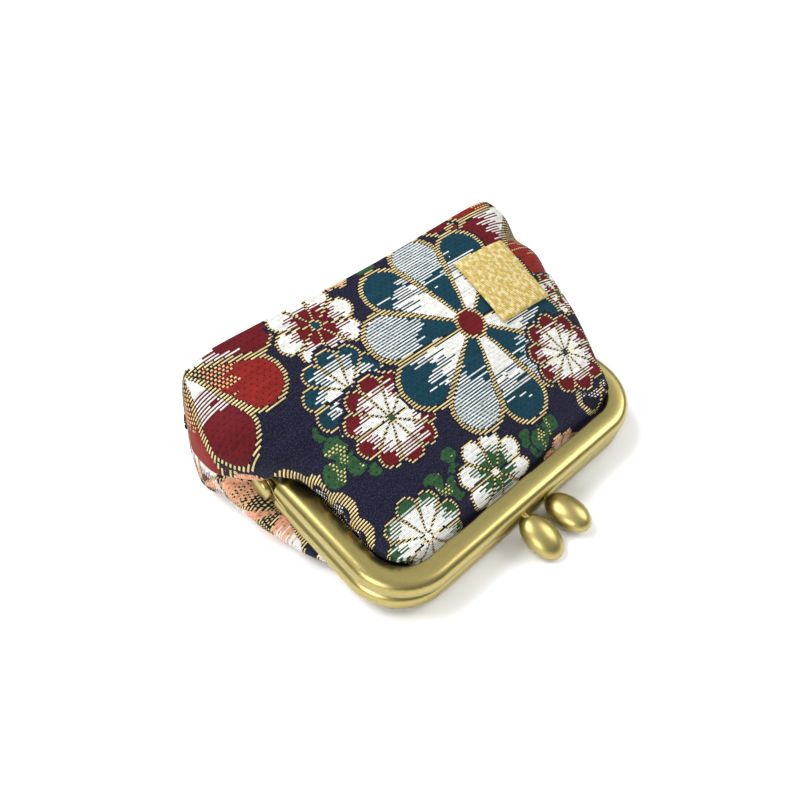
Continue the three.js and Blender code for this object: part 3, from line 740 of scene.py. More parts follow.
    def fold_depth(self, grid):
        bag = self.bag
        depth = np.zeros(grid.shape[:2])
        for x, y, z, spread_x, spread_y, deep in self.folds:
            dx = (grid[..., 0] / (bag.width / 2) - x) / spread_x
            dy = (grid[..., 1] / bag.depth - y) / spread_y
            dz = (np.abs(grid[..., 2]) / (bag.thickness / 2) - z) / FOLD_HEIGHT_SPREAD
            depth += deep * bag.thickness * np.exp(-dx * dx - dy * dy - dz * dz)
        return depth

    def middle_surface(self):
        grid = []
        for (y, line), (_, other) in zip(self.rows(self.left_side), self.rows(self.right_side)):
            left = np.stack([-line[:, 0], np.full(len(line), y), line[:, 1]], 1)
            right = np.stack([other[:, 0], np.full(len(other), y), other[:, 1]], 1)[:-1][::-1]
            grid.append(np.vstack([left, right]))
        grid = np.array(grid)
        return grid - normals_of(grid) * self.fold_depth(grid)[..., None]


def normals_of(grid):
    across = np.empty_like(grid)
    across[:, 1:-1] = grid[:, 2:] - grid[:, :-2]
    across[:, 0] = grid[:, 1] - grid[:, 0]
    across[:, -1] = grid[:, -1] - grid[:, -2]
    down = np.empty_like(grid)
    down[1:-1] = grid[2:] - grid[:-2]
    down[0] = grid[1] - grid[0]
    down[-1] = grid[-1] - grid[-2]
    normal = np.cross(across, down)
    size = np.linalg.norm(normal, axis=2, keepdims=True)
    return normal / np.maximum(size, 1e-9)


def lengths_along(grid, axis):
    steps = np.linalg.norm(np.diff(grid, axis=axis), axis=2)
    zero = np.zeros_like(np.take(steps, [0], axis=axis))
    return np.concatenate([zero, np.cumsum(steps, axis=axis)], axis=axis)


def cloth_places(grid):
    """Place of each grid point on the flat cloth: across from the middle, along from the mouth."""
    middle = grid.shape[1] // 2
    across = lengths_along(grid, 1)
    across -= across[:, middle:middle + 1]
    along = np.broadcast_to(lengths_along(grid, 0)[:, middle:middle + 1], across.shape)
    return np.stack([across, along], 2)


def puckers(place, away, size, pace, sway, sway_pace, reach):
    """Small waves along a seam that die out away from it."""
    wave = np.sin(place * pace + sway * np.sin(place * sway_pace))
    return size * wave * np.exp(-away / reach) * (1 - np.exp(-away / PUCKER_START))


def seam_relief(shape, grid):
    """Share of the wall that is left towards the seams, and the puckers beside them."""
    across = lengths_along(grid, 1)
    from_side = np.minimum(across, across[:, -1:] - across)
    free = grid[..., 1] > shape.arm_end + 1
    from_side = np.where(free, from_side, FAR_FROM_SEAM)
    down = lengths_along(grid, 0)
    from_bottom = down[-1:] - down
    near = np.minimum(from_side, from_bottom)
    share = np.clip(near / THIN_WIDTH, 0, 1)
    thin = THIN_SHARE + (1 - THIN_SHARE) * np.sqrt(1 - (1 - share) ** 2)
    relief = puckers(grid[..., 1], from_side, *SIDE_PUCKERS)
    relief += puckers(grid[..., 0], from_bottom, *BOTTOM_PUCKERS)
    return thin, relief


def ground_height(y, above):
    """Height in the clasp's axes of a plane that lies so far above the ground."""
    return (above - LYING_PLACE[2] - y * math.sin(LYING_TIP)) / math.cos(LYING_TIP)


def panel_mesh(name, shape, half_sign):
    """A closed cloth wall, with each face's place on the flat cloth kept as a UV map."""
    grid = shape.middle_surface()
    normal = normals_of(grid)
    thin, relief = seam_relief(shape, grid)
    places = cloth_places(grid)
    rows, columns = grid.shape[:2]
    skins = []
    for sign in (1, -1):
        lift = sign * shape.half_cloth * (thin if sign > 0 else 1) + relief
        skin = grid + normal * lift[..., None]
        skin[..., 2] = half_sign * np.maximum(skin[..., 2], shape.seam_face)
        if half_sign < 0:
            above = 0 if sign > 0 else shape.bag.cloth
            skin[..., 2] = np.maximum(skin[..., 2], ground_height(skin[..., 1], above))
        skins.append(skin.reshape(-1, 3))
    index = np.arange(rows * columns).reshape(rows, columns)
    outer = np.stack([index[:-1, :-1], index[:-1, 1:], index[1:, 1:], index[1:, :-1]], 2)
    outer = outer.reshape(-1, 4)
    inner = outer[:, ::-1] + rows * columns
    border = np.concatenate([index[0, :-1], index[:-1, -1], index[-1, :0:-1], index[:0:-1, 0]])
    following = np.roll(border, -1)
    rim = np.stack([border, border + rows * columns, following + rows * columns, following], 1)
    faces = np.vstack([outer, inner, rim])
    if half_sign < 0:
        faces = faces[:, ::-1]
    mesh = bpy.data.meshes.new(name)
    mesh.from_pydata((np.vstack(skins) * MM).tolist(), [], faces.tolist())
    flat = np.concatenate([places.reshape(-1, 2)] * 2)
    layer = mesh.uv_layers.new(name="cloth")
    corner_places = flat[faces.reshape(-1)]
    layer.data.foreach_set("uv", corner_places.astype(np.float32).reshape(-1))
    kinds = np.concatenate([np.zeros(len(outer)), np.ones(len(inner) + len(rim))]).astype(np.int32)
    mesh.polygons.foreach_set("material_index", kinds)
    mesh.polygons.foreach_set("use_smooth", np.ones(len(faces), dtype=bool))
    mesh.update()
    return mesh, corner_places.reshape(len(faces), 4, 2)


# Flowers of the brocade

# Each motif: across and along are its middle on the flat cloth and radius its reach, in
# millimetres, petals their number, turn the first petal's direction in degrees, heart the
# heart's share of the radius, change the share of the radius where the petals' colour changes.
# line is the width of the gold outline, and a leaf has a negative one, which makes it fuller.
# tips and bases are the petals' outer and inner colours, one for all, or one for the even and
# one for the odd petals. A motif lies over those further down.
MOTIF_COLUMNS = ("panel", "across", "along", "radius", "petals", "turn", "heart", "change", "line",
                 "tips", "bases", "heart_colour")
MOTIFS = (
    # Small flower over the great one
    ("front", 30.7, 21.2, 10.4, 10, 6, 0.07, 0.62, 0.6, "red", "white", "teal"),
    # Great flower in the middle
    ("front", 13.1, 38.7, 26.0, 10, 38.5, 0.12, 0.6, 1.15, "teal stripe", "white teal", "red"),
    # Small flowers
    ("front", -17.6, 31.5, 10.2, 10, 4, 0.07, 0.62, 0.6, "red", "white", "green"),
    ("front", -5.0, 9.3, 9.1, 8, 2, 0.09, 0.5, 0.55, "white", "green", "white"),
    ("front", -26.4, 7.8, 9.3, 9, 8, 0.08, 0.72, 0.55, "green", "white", "white"),
    ("front", -21.0, 41.0, 10.2, 10, 1, 0.07, 0.6, 0.6, "teal", "white", "teal"),
    ("front", -17.5, 56.8, 10.2, 8, 17, 0.09, 0.55, 0.6, "white", "red", "teal"),
    ("front", 14.6, 0.8, 6.4, 8, 10, 0.1, 0.5, 0.5, "peach", "white", "white"),
    ("front", 42.5, 34.6, 6.4, 8, 10, 0.14, 0.6, 0.7, "red white", "white red", "green"),
    # Leaves
    ("front", -18.0, 12.6, 4.6, 3, 70, 0.0, 0.72, -1.1, "green", "vein", "green"),
    ("front", -12.6, 16.6, 2.7, 2, 10, 0.0, 0.5, -1.1, "green", "vein green", "green"),
    ("front", 12.0, 8.3, 4.4, 3, 10, 0.0, 0.72, -1.1, "green", "vein", "green"),
    ("front", 7.8, 9.6, 3.4, 3, 40, 0.0, 0.5, -1.1, "green", "green vein", "green"),
    ("front", -31.4, 30.6, 4.6, 3, 100, 0.0, 0.75, -1.1, "green", "vein", "green"),
    ("front", -29.4, 36.6, 3.5, 3, 30, 0.0, 0.6, -1.1, "green", "green vein", "green"),
    ("front", -26.4, 27.4, 3.0, 2, 0, 0.0, 0.5, -1.1, "green", "vein green", "green"),
    # Great flowers at the sides
    ("front", -46.0, 63.3, 20.5, 8, 22, 0.0, 0.38, 1.0, "red scarlet", "white hatch", "white"),
    ("front", 49.0, 61.5, 22.0, 8, 0, 0.06, 0.5, 1.0, "red scarlet", "white hatch", "white"),
    ("front", 41.0, 67.0, 21.0, 8, 22.5, 0.0, 0.4, 1.0, "red scarlet", "white hatch", "white"),
    # Scrolls of gold
    ("front", -41.9, 17.2, 6.6, 2, 90, 0.0, 0.0, 1.9, "beads", "beads", "dark"),
    ("front", -43.6, 23.4, 8.4, 2, 90, 0.0, 0.0, 1.9, "beads", "beads", "dark"),
    ("front", -44.1, 29.5, 7.2, 2, 90, 0.0, 0.0, 1.9, "beads", "beads", "dark"),
    ("front", -53.1, 32.0, 13.2, 2, 90, 0.0, 0.0, 1.9, "dark", "dark", "dark"),
    ("front", 32.1, 8.6, 7.2, 2, 90, 0.0, 0.0, 1.3, "beads", "beads", "dark"),
    # Left side of the front panel
    ("front", -60.0, 47.0, 12.0, 8, 10, 0.1, 0.55, 0.7, "red peach", "white", "teal"),
    # Bottom of the bag
    ("front", -7.0, 68.5, 6.8, 8, 5, 0.1, 0.5, 0.5, "peach", "white", "red"),
    ("front", 1.5, 65.8, 4.4, 3, 15, 0.0, 0.6, -1.1, "green", "vein green", "green"),
    ("front", 12.0, 82.0, 15.5, 10, 15, 0.1, 0.55, 0.9, "teal stripe", "white teal", "red"),
    ("front", -14.5, 82.0, 9.0, 10, 0, 0.08, 0.6, 0.6, "red", "white", "green"),
    ("front", 33.0, 84.0, 8.5, 8, 0, 0.08, 0.55, 0.6, "green", "white", "white"),
    ("front", -33.0, 86.5, 7.5, 8, 0, 0.08, 0.5, 0.5, "white", "teal", "red"),
    # Back panel
    ("back", -52.5, 38.0, 14.5, 8, 10, 0.0, 0.55, 0.8, "peach white", "hatch peach", "dark"),
    ("back", -50.0, 60.0, 12.0, 8, 0, 0.09, 0.55, 0.7, "white", "red peach", "teal"),
    ("back", -46.0, 17.0, 8.5, 8, 0, 0.08, 0.55, 0.6, "white", "green", "white"),
    ("back", -12.0, 36.0, 26.0, 10, 20, 0.11, 0.58, 1.15, "teal stripe", "white teal", "red"),
    ("back", -33.0, 20.0, 10.0, 10, 0, 0.07, 0.62, 0.6, "red", "white", "teal"),
    ("back", 4.0, 9.0, 9.5, 8, 12, 0.09, 0.5, 0.55, "white", "green", "white"),
    ("back", 26.0, 9.0, 9.5, 9, 8, 0.08, 0.7, 0.55, "green", "white", "white"),
    ("back", 19.0, 31.0, 10.2, 10, 4, 0.07, 0.62, 0.6, "red", "white", "green"),
    ("back", 22.0, 41.5, 10.2, 10, 1, 0.07, 0.6, 0.6, "teal", "white", "teal"),
    ("back", 17.0, 57.0, 10.2, 8, 17, 0.09, 0.55, 0.6, "white", "red", "teal"),
    ("back", 44.5, 62.0, 21.5, 8, 22, 0.1, 0.52, 1.0, "red scarlet", "white hatch", "teal"),
    ("back", -30.0, 68.0, 18.0, 8, 5, 0.1, 0.55, 1.0, "scarlet red", "hatch white", "teal"),
    ("back", 33.5, 24.0, 4.6, 3, 70, 0.0, 0.7, -1.1, "green", "vein green", "green"),
    ("back", 43.0, 34.0, 8.5, 8, 0, 0.08, 0.55, 0.6, "peach", "white", "red"),
    ("back", 0.0, 78.0, 12.0, 10, 15, 0.1, 0.55, 0.8, "teal stripe", "white teal", "red"),
)

# Breadth of a petal as a share of its place between its neighbours
PETAL_SPREAD = 1.0

# How far around a motif, and outside its petals, faces still belong to it, in millimetres
MOTIF_MARGIN = 2
PETAL_MARGIN = 1.1

# Codes of the weaves. A weave's name can stand in a colour's place, and it is then woven over
# the colour given here, or over the colour of its own name.
PLAIN, STRIPED, HATCHED, VEINED, BEADED = 0.0, 1.0, 2.0, 3.0, 4.0
WEAVES = {"stripe": STRIPED, "hatch": HATCHED, "vein": VEINED, "beads": BEADED}
WEAVE_COLOURS = {"hatch": "gold", "vein": "green", "beads": "dark"}


def petal_distance(x, y, motif):
    """Distance from the outline of the nearest petal, negative inside it."""
    step = 2 * math.pi / motif.petals
    radius = np.hypot(x, y)
    angle = np.arctan2(y, x) + math.radians(motif.turn)
    off = (np.mod(angle / step, 1) - 0.5) * step
    spread = PETAL_SPREAD * math.sin(step / 2)
    centre = motif.radius / (1 + spread)
    along = radius * np.cos(off)
    share = np.clip(along / centre, 0, 1)
    return np.hypot(along - share * centre, radius * np.sin(off)) - centre * spread * share


def write_motifs(mesh, corners, panel, colours):
    """Gives each face the flower that it shows, with its corners' places from that flower."""
    count = len(corners)
    middle = corners.mean(axis=1)
    spot = np.zeros((count, 4, 3), np.float32)
    form = np.zeros((count, 4, 3), np.float32)
    weave = np.zeros((count, 4, 3), np.float32)
    trim = np.zeros((count, 4, 3), np.float32)
    shades = {name: np.zeros((count, 4, 4), np.float32)
              for name in ("tip_even", "tip_odd", "base_even", "base_odd", "heart")}
    free = np.ones(count, bool)
    for row in MOTIFS:
        motif = SimpleNamespace(**dict(zip(MOTIF_COLUMNS, row)))
        if motif.panel != panel:
            continue
        x = middle[:, 0] - motif.across
        y = middle[:, 1] - motif.along
        shown = free & (np.hypot(x, y) < motif.radius + MOTIF_MARGIN)
        shown &= petal_distance(x, y, motif) < PETAL_MARGIN
        free &= ~shown
        spot[shown, :, 0] = corners[shown, :, 0] - motif.across
        spot[shown, :, 1] = corners[shown, :, 1] - motif.along
        spot[shown, :, 2] = motif.petals
        form[shown] = (motif.radius, motif.heart * motif.radius, math.radians(motif.turn))
        tips = motif.tips.split()
        bases = motif.bases.split()
        silks = {"tip_even": tips[0], "tip_odd": tips[-1], "base_even": bases[0],
                 "base_odd": bases[-1], "heart": motif.heart_colour}
        code = {name: WEAVES.get(silk, PLAIN) for name, silk in silks.items()}
        weave[shown] = (code["tip_even"], code["tip_odd"], motif.change)
        trim[shown] = (motif.line, code["base_even"], code["base_odd"])
        for name, shade in silks.items():
            value = getattr(colours, WEAVE_COLOURS.get(shade, shade))
            shades[name][shown] = (*value, 1)
    for name, values in (("spot", spot), ("form", form), ("weave", weave), ("trim", trim)):
        attribute = mesh.attributes.new(name, "FLOAT_VECTOR", "CORNER")
        attribute.data.foreach_set("vector", values.reshape(-1))
    for name, values in shades.items():
        attribute = mesh.attributes.new(name, "FLOAT_COLOR", "CORNER")
        attribute.data.foreach_set("color", values.reshape(-1))


class PURSE_OT_bag(bpy.types.Operator):
    """Build the two cloth panels of the bag"""

    bl_idname = "purse.bag"
    bl_label = "Bag"

    def execute(self, context):
        clasp = in_millimetres(context.scene.purse_clasp)
        bag = in_millimetres(context.scene.purse_bag)
        colours = context.scene.purse_colours
        brocade = brocade_material(colours)
        lining = lining_material(colours)
        panels = (
            ("front", 1, SNUG_SIDE, FULL_SIDE, FRONT_FOLDS),
            ("back", -1, BACK_SIDE, BACK_SIDE, BACK_FOLDS),
        )
        for panel, half_sign, left_side, right_side, folds in panels:
            shape = PanelShape(clasp, bag, left_side, right_side, folds)
            mesh, corners = panel_mesh(f"brocade_{panel}", shape, half_sign)
            write_motifs(mesh, corners, panel, colours)
            mesh.transform(lying_matrix())
            piece = bpy.data.objects.new(f"brocade_{panel}", mesh)
            context.collection.objects.link(piece)
            finish_piece(piece, brocade, "brocade", f"{panel}_panel")
            mesh.materials.append(lining)
        return {"FINISHED"}


# Label: its steps each way, and in millimetres the height that it is laid down from, its gap to
# the cloth and its rounded edge
LABEL_STEPS = 32
LABEL_START = 60
LABEL_GAP = 0.3
LABEL_EDGE = 0.35


class PURSE_OT_label(bpy.types.Operator):
    """Build the woven label that lies on the front panel"""

    bl_idname = "purse.label"
    bl_label = "Label"

    def execute(self, context):
        bag = in_millimetres(context.scene.purse_bag)
        under = bpy.data.objects["brocade_front"].data
        tree = BVHTree.FromPolygons([v.co for v in under.vertices],
                                    [p.vertices for p in under.polygons])
        lying = lying_matrix()
        down = lying.to_3x3() @ Vector((0, 0, -1))
        steps = LABEL_STEPS
        top, low, places = [], [], []
        for i in range(steps + 1):
            for j in range(steps + 1):
                u = (j / steps - 0.5) * bag.label_width
                v = (i / steps - 0.5) * bag.label_length
                start = lying @ (Vector((bag.label_x + u, bag.label_y + v, LABEL_START)) * MM)
                place, normal, _, _ = tree.ray_cast(start, down)
                edge = min(bag.label_width / 2 - abs(u), bag.label_length / 2 - abs(v))
                drop = LABEL_EDGE * math.exp(-edge / LABEL_EDGE)
                top.append(place + normal * (LABEL_GAP + bag.label_thickness - drop) * MM)
                low.append(place + normal * LABEL_GAP * MM)
                places.append((u, v))
        side = steps + 1
        faces = []
        for i in range(steps):
            for j in range(steps):
                a = i * side + j
                quad = (a, a + 1, a + side + 1, a + side)
                faces.append(quad)
                faces.append(tuple(k + side * side for k in reversed(quad)))
        rim = list(range(steps))
        rim += [i * side + steps for i in range(steps)]
        rim += [steps * side + j for j in range(steps, 0, -1)]
        rim += [i * side for i in range(steps, 0, -1)]
        for a, b in zip(rim, rim[1:] + rim[:1]):
            faces.append((a, a + side * side, b + side * side, b))
        mesh = bpy.data.meshes.new("woven_label")
        mesh.from_pydata(top + low, [], faces)
        flat = places * 2
        layer = mesh.uv_layers.new(name="cloth")
        values = [c for p in mesh.polygons for k in p.vertices for c in flat[k]]
        layer.data.foreach_set("uv", values)
        mesh.polygons.foreach_set("use_smooth", [True] * len(mesh.polygons))
        piece = bpy.data.objects.new("woven_label", mesh)
        context.collection.objects.link(piece)
        finish_piece(piece, label_material(context.scene.purse_colours), "label", "label")
        return {"FINISHED"}


# Materials

# Weave, in millimetres: height of a row of weft and pitch of the warp for the brocade, and both
# for the lining and the label
ROW_PITCH = 0.32
WARP_PITCH = 0.34
LINING_PITCHES = (0.3, 0.3)
LABEL_PITCHES = (0.36, 0.5)

# Threads: shift from row to row, height between two stitches, and the painted shade at a thread's edge
# with the painted highlight that its middle adds
THREAD_STAGGER = 0.4
THREAD_DIP = 0.35
THREAD_PAINTED_SHADE = 0.65
THREAD_PAINTED_HIGHLIGHT = 0.4

# Pinholes, in millimetres: how far apart they are, across and along, and where they fade out
PIN_SPACING = (1.6, 0.96)
PIN_FADE = (0.14, 0.3)

# How much a pinhole darkens deep colours and pale ones, and the green part of a colour between
# which it counts as deep and as pale
PIN_DARK = 0.6
PIN_PALE = 0.22
PALE_FROM = 0.3
PALE_FULL = 0.6

# Outlines, in widths of their line: how far the gold reaches in and out, how much further in the
# petal's silk starts and further out the dark rim ends, and the line round the heart
LINE_IN = -0.45
LINE_OUT = 0.55
PETAL_INSET = 0.1
RIM_OUTSET = 0.2
HEART_LINE = 0.8

# Width of a line at the flower's middle, and how it grows with the share of the radius
TAPER_START = 0.35
TAPER_GROWTH = 0.9

# How rows differ: in place, in millimetres, and in where the petals' colour changes, by pairs of
# rows, by every second row and along a row, as shares of the radius; the last is the pace of that
# drift along a row and from row to row
ROW_JITTER = 0.3
PAIR_SHIFT = 0.2
SECOND_SHIFT = 0.2
DRIFT_SHIFT = 0.42
DRIFT_PLACE = (0.2, 5.3)

# Twill of the striped petals: its pace along a row and from row to row, and its depth
TWILL_PACE = (4.8, 1.1)
TWILL_DEPTH = 0.14

# Dashes of the hatched petals: length in millimetres, shift from row to row and share of gaps
DASH_LENGTH = 0.95
DASH_SHIFT = 0.25
DASH_GAP = 0.55

# Stitches strewn over leaves and scrolls, and pale flecks of the ground: scale and limits
STREWN_SCALE = 0.35
STREWN_OVER = 0.52
FLECK_SCALE = 3.6
FLECK_LIMITS = (0.46, 0.72)

# Single stretches of thread: their pace along a row and from row to row, and how dark and how
# light they can be
WANDER_PLACE = (0.25, 3.7)
THREAD_TONES = (0.45, 1.5)

# Relief of the gold and of the ground's threads, where a petal's silk has 1, the roughness of
# silk and gold, and how metallic the gold is
GOLD_RISE = 0.9
GROUND_RISE = 0.35
SILK_ROUGHNESS = 0.6
GOLD_ROUGHNESS = 0.4
GOLD_METALLIC = 0.35

# Damask of the label: scale and limits of its patches, and their paler gold
PATCH_SCALE = 0.9
PATCH_LIMITS = (0.4, 0.65)
PALE_GOLD = (0.72, 0.63, 0.34, 1)

# Worn brass: scale of its clouds and of its brushed grain, where each darkens it, how much, and
# what each adds to the roughness
CLOUD_SCALE = 140.0
GRAIN_SCALE = 2600.0
CLOUD_LIMITS = (0.45, 0.8)
GRAIN_LIMITS = (0.4, 0.75)
CLOUD_TARNISH = 0.2
GRAIN_TARNISH = 0.16
CLOUD_ROUGHNESS = 0.12
GRAIN_ROUGHNESS = 0.08

# Recesses of the brass: how far they are looked for in millimetres, their limits and darkening
HOLLOW_REACH = 1.2
HOLLOW_LIMITS = (0.3, 0.95)
HOLLOW_TARNISH = 0.8

# Brushing: how the grain is stretched on the mouth bar, the arms and the knobs, and roughness
BAR_BRUSHED = (0.1, 1.0, 1.0)
ARM_BRUSHED = (1.0, 0.1, 1.0)
KNOB_BRUSHED = (1.0, 0.3, 1.0)
CLASP_ROUGHNESS = 0.2
KNOB_ROUGHNESS = 0.27

# Where the brushed lines turn from along the mouth bar to along the arms, in millimetres
ARM_START = 27
ARM_FULL = 37
STRIPE_DARK = (0.012, 0.04, 0.065, 1)
GROUND_FLECK = (0.035, 0.035, 0.065, 1)


class Wiring:
    """Short ways to make and join the nodes of one tree."""

    def __init__(self, tree):
        self.tree = tree

    def new(self, kind, **settings):
        node = self.tree.nodes.new(kind)
        for name, value in settings.items():
            setattr(node, name, value)
        return node

    def join(self, value, socket):
        if isinstance(value, bpy.types.NodeSocket):
            self.tree.links.new(value, socket)
        elif value is not None:
            socket.default_value = value

    def math(self, operation, first, second=None, third=None):
        node = self.new("ShaderNodeMath", operation=operation)
        for value, socket in zip((first, second, third), node.inputs):
            self.join(value, socket)
        return node.outputs[0]

    def mix(self, factor, first, second):
        node = self.new("ShaderNodeMix", data_type="RGBA")
        self.join(factor, node.inputs[0])
        self.join(first, node.inputs[6])
        self.join(second, node.inputs[7])
        return node.outputs[2]

    def blend(self, factor, first, second):
        node = self.new("ShaderNodeMix", data_type="FLOAT")
        self.join(factor, node.inputs[0])
        self.join(first, node.inputs[2])
        self.join(second, node.inputs[3])
        return node.outputs[0]

    def band(self, value, low, high):
        node = self.new("ShaderNodeMapRange", interpolation_type="SMOOTHSTEP")
        self.join(value, node.inputs[0])
        self.join(low, node.inputs[1])
        self.join(high, node.inputs[2])
        return node.outputs[0]

    def dice(self, value):
        node = self.new("ShaderNodeTexWhiteNoise", noise_dimensions="1D")
        self.join(value, node.inputs["W"])
        return node.outputs["Value"]

    def parts(self, vector):
        node = self.new("ShaderNodeSeparateXYZ")
        self.join(vector, node.inputs[0])
        return node.outputs[0], node.outputs[1], node.outputs[2]

    def vector(self, x, y, z=0.0):
        node = self.new("ShaderNodeCombineXYZ")
        for value, socket in zip((x, y, z), node.inputs):
            self.join(value, socket)
        return node.outputs[0]

    def attribute(self, name):
        return self.new("ShaderNodeAttribute", attribute_name=name)

    def noise(self, vector, scale, detail=2.0):
        node = self.new("ShaderNodeTexNoise")
        self.join(vector, node.inputs["Vector"])
        node.inputs["Scale"].default_value = scale
        node.inputs["Detail"].default_value = detail
        return node.outputs["Fac"]


def new_material(name):
    material = bpy.data.materials.new(name)
    material.use_nodes = True
    nodes = material.node_tree.nodes
    return material, Wiring(material.node_tree), nodes["Principled BSDF"]


def opaque(shade):
    return (*shade, 1)


def thread_weave_group():
    """Rows of threads: their height, and their painted shade, darker at each thread's edges and lighter
    in its middle.
    """
    name = "Thread Weave"
    if name in bpy.data.node_groups:
        return bpy.data.node_groups[name]
    group = bpy.data.node_groups.new(name, "ShaderNodeTree")
    group.interface.new_socket("Place", in_out="INPUT", socket_type="NodeSocketVector")
    for socket_name, default in (("Weft Pitch", ROW_PITCH), ("Warp Pitch", WARP_PITCH)):
        socket = group.interface.new_socket(socket_name, in_out="INPUT",
                                            socket_type="NodeSocketFloat")
        socket.default_value = default
    for socket_name in ("Height", "Shade"):
        group.interface.new_socket(socket_name, in_out="OUTPUT", socket_type="NodeSocketFloat")
    wires = Wiring(group)
    given = wires.new("NodeGroupInput")
    out = wires.new("NodeGroupOutput")
    u, v, _ = wires.parts(given.outputs["Place"])
    row = wires.math("DIVIDE", v, given.outputs["Weft Pitch"])
    column = wires.math("DIVIDE", u, given.outputs["Warp Pitch"])
    stagger = wires.math("MULTIPLY", wires.math("FLOOR", row), THREAD_STAGGER)
    column = wires.math("ADD", column, stagger)
    across = wires.math("SINE", wires.math("MULTIPLY", wires.math("FRACT", row), math.pi))
    along = wires.math("SINE", wires.math("MULTIPLY", wires.math("FRACT", column), math.pi))
    height = wires.math("MULTIPLY", across, wires.blend(THREAD_DIP, 1.0, along))
    # Painted shade and painted highlight of the rounded threads: dark at a thread's edges, light in its
    # middle
    shade = wires.math("ADD", wires.math("MULTIPLY", height, THREAD_PAINTED_HIGHLIGHT), THREAD_PAINTED_SHADE)
    wires.join(height, out.inputs["Height"])
    wires.join(shade, out.inputs["Shade"])
    return group


def add_bump(wires, shader, height, strength, depth):
    """Gives a surface its fine relief; depth is in millimetres."""
    bump = wires.new("ShaderNodeBump")
    bump.inputs["Strength"].default_value = strength
    bump.inputs["Distance"].default_value = depth * MM
    wires.join(height, bump.inputs["Height"])
    wires.join(bump.outputs[0], shader.inputs["Normal"])


def placed_group(wires, group, **values):
    node = wires.new("ShaderNodeGroup", node_tree=group)
    for name, value in values.items():
        wires.join(value, node.inputs[name.replace("_", " ")])
    return node


def scaled(wires, shade, factor):
    node = wires.new("ShaderNodeVectorMath", operation="SCALE")
    wires.join(shade, node.inputs[0])
    wires.join(factor, node.inputs["Scale"])
    return node.outputs[0]


def nearest_petal(wires, x, y, petals, radius, turn):
    """Distance from a flower's middle, whether the nearest petal is odd, and how far its outline is."""
    calc = wires.math
    reach = calc("SQRT", calc("ADD", calc("MULTIPLY", x, x), calc("MULTIPLY", y, y)))
    step = calc("DIVIDE", 2 * math.pi, calc("MAXIMUM", petals, 1.0))
    count = calc("DIVIDE", calc("ADD", calc("ARCTAN2", y, x), turn), step)
    odd = calc("FLOORED_MODULO", calc("FLOOR", count), 2.0)
    off = calc("MULTIPLY", calc("SUBTRACT", calc("FRACT", count), 0.5), step)
    spread = calc("MULTIPLY", calc("SINE", calc("MULTIPLY", step, 0.5)), PETAL_SPREAD)
    centre = calc("DIVIDE", radius, calc("ADD", spread, 1.0))
    along = calc("MULTIPLY", reach, calc("COSINE", off))
    aside = calc("MULTIPLY", reach, calc("SINE", off))
    share = calc("MINIMUM", calc("MAXIMUM", calc("DIVIDE", along, centre), 0.0), 1.0)
    back = calc("SUBTRACT", along, calc("MULTIPLY", share, centre))
    gap = calc("SQRT", calc("ADD", calc("MULTIPLY", back, back), calc("MULTIPLY", aside, aside)))
    distance = calc("SUBTRACT", gap, calc("MULTIPLY", calc("MULTIPLY", centre, spread), share))
    return reach, odd, distance


def pinholes(wires, u, v):
    """Dark pinholes in staggered rows, where the long threads are tied down."""
    calc = wires.math
    across, down = PIN_SPACING
    row = calc("DIVIDE", v, down)
    stagger = calc("MULTIPLY", calc("FLOORED_MODULO", calc("FLOOR", row), 2.0), 0.5)
    column = calc("ADD", calc("DIVIDE", u, across), stagger)
    off_u = calc("MULTIPLY", calc("SUBTRACT", calc("FRACT", column), 0.5), across)
    off_v = calc("MULTIPLY", calc("SUBTRACT", calc("FRACT", row), 0.5), down)
    gap = calc("SQRT", calc("ADD", calc("MULTIPLY", off_u, off_u), calc("MULTIPLY", off_v, off_v)))
    return calc("SUBTRACT", 1.0, wires.band(gap, *PIN_FADE))


def row_noise(wires, u, row, along_row, over_rows):
    """Soft noise that changes slowly along a row and has no link to the next row."""
    place = wires.vector(wires.math("MULTIPLY", u, along_row),
                         wires.math("MULTIPLY", row, over_rows))
    return wires.noise(place, 1.0, 1.0)


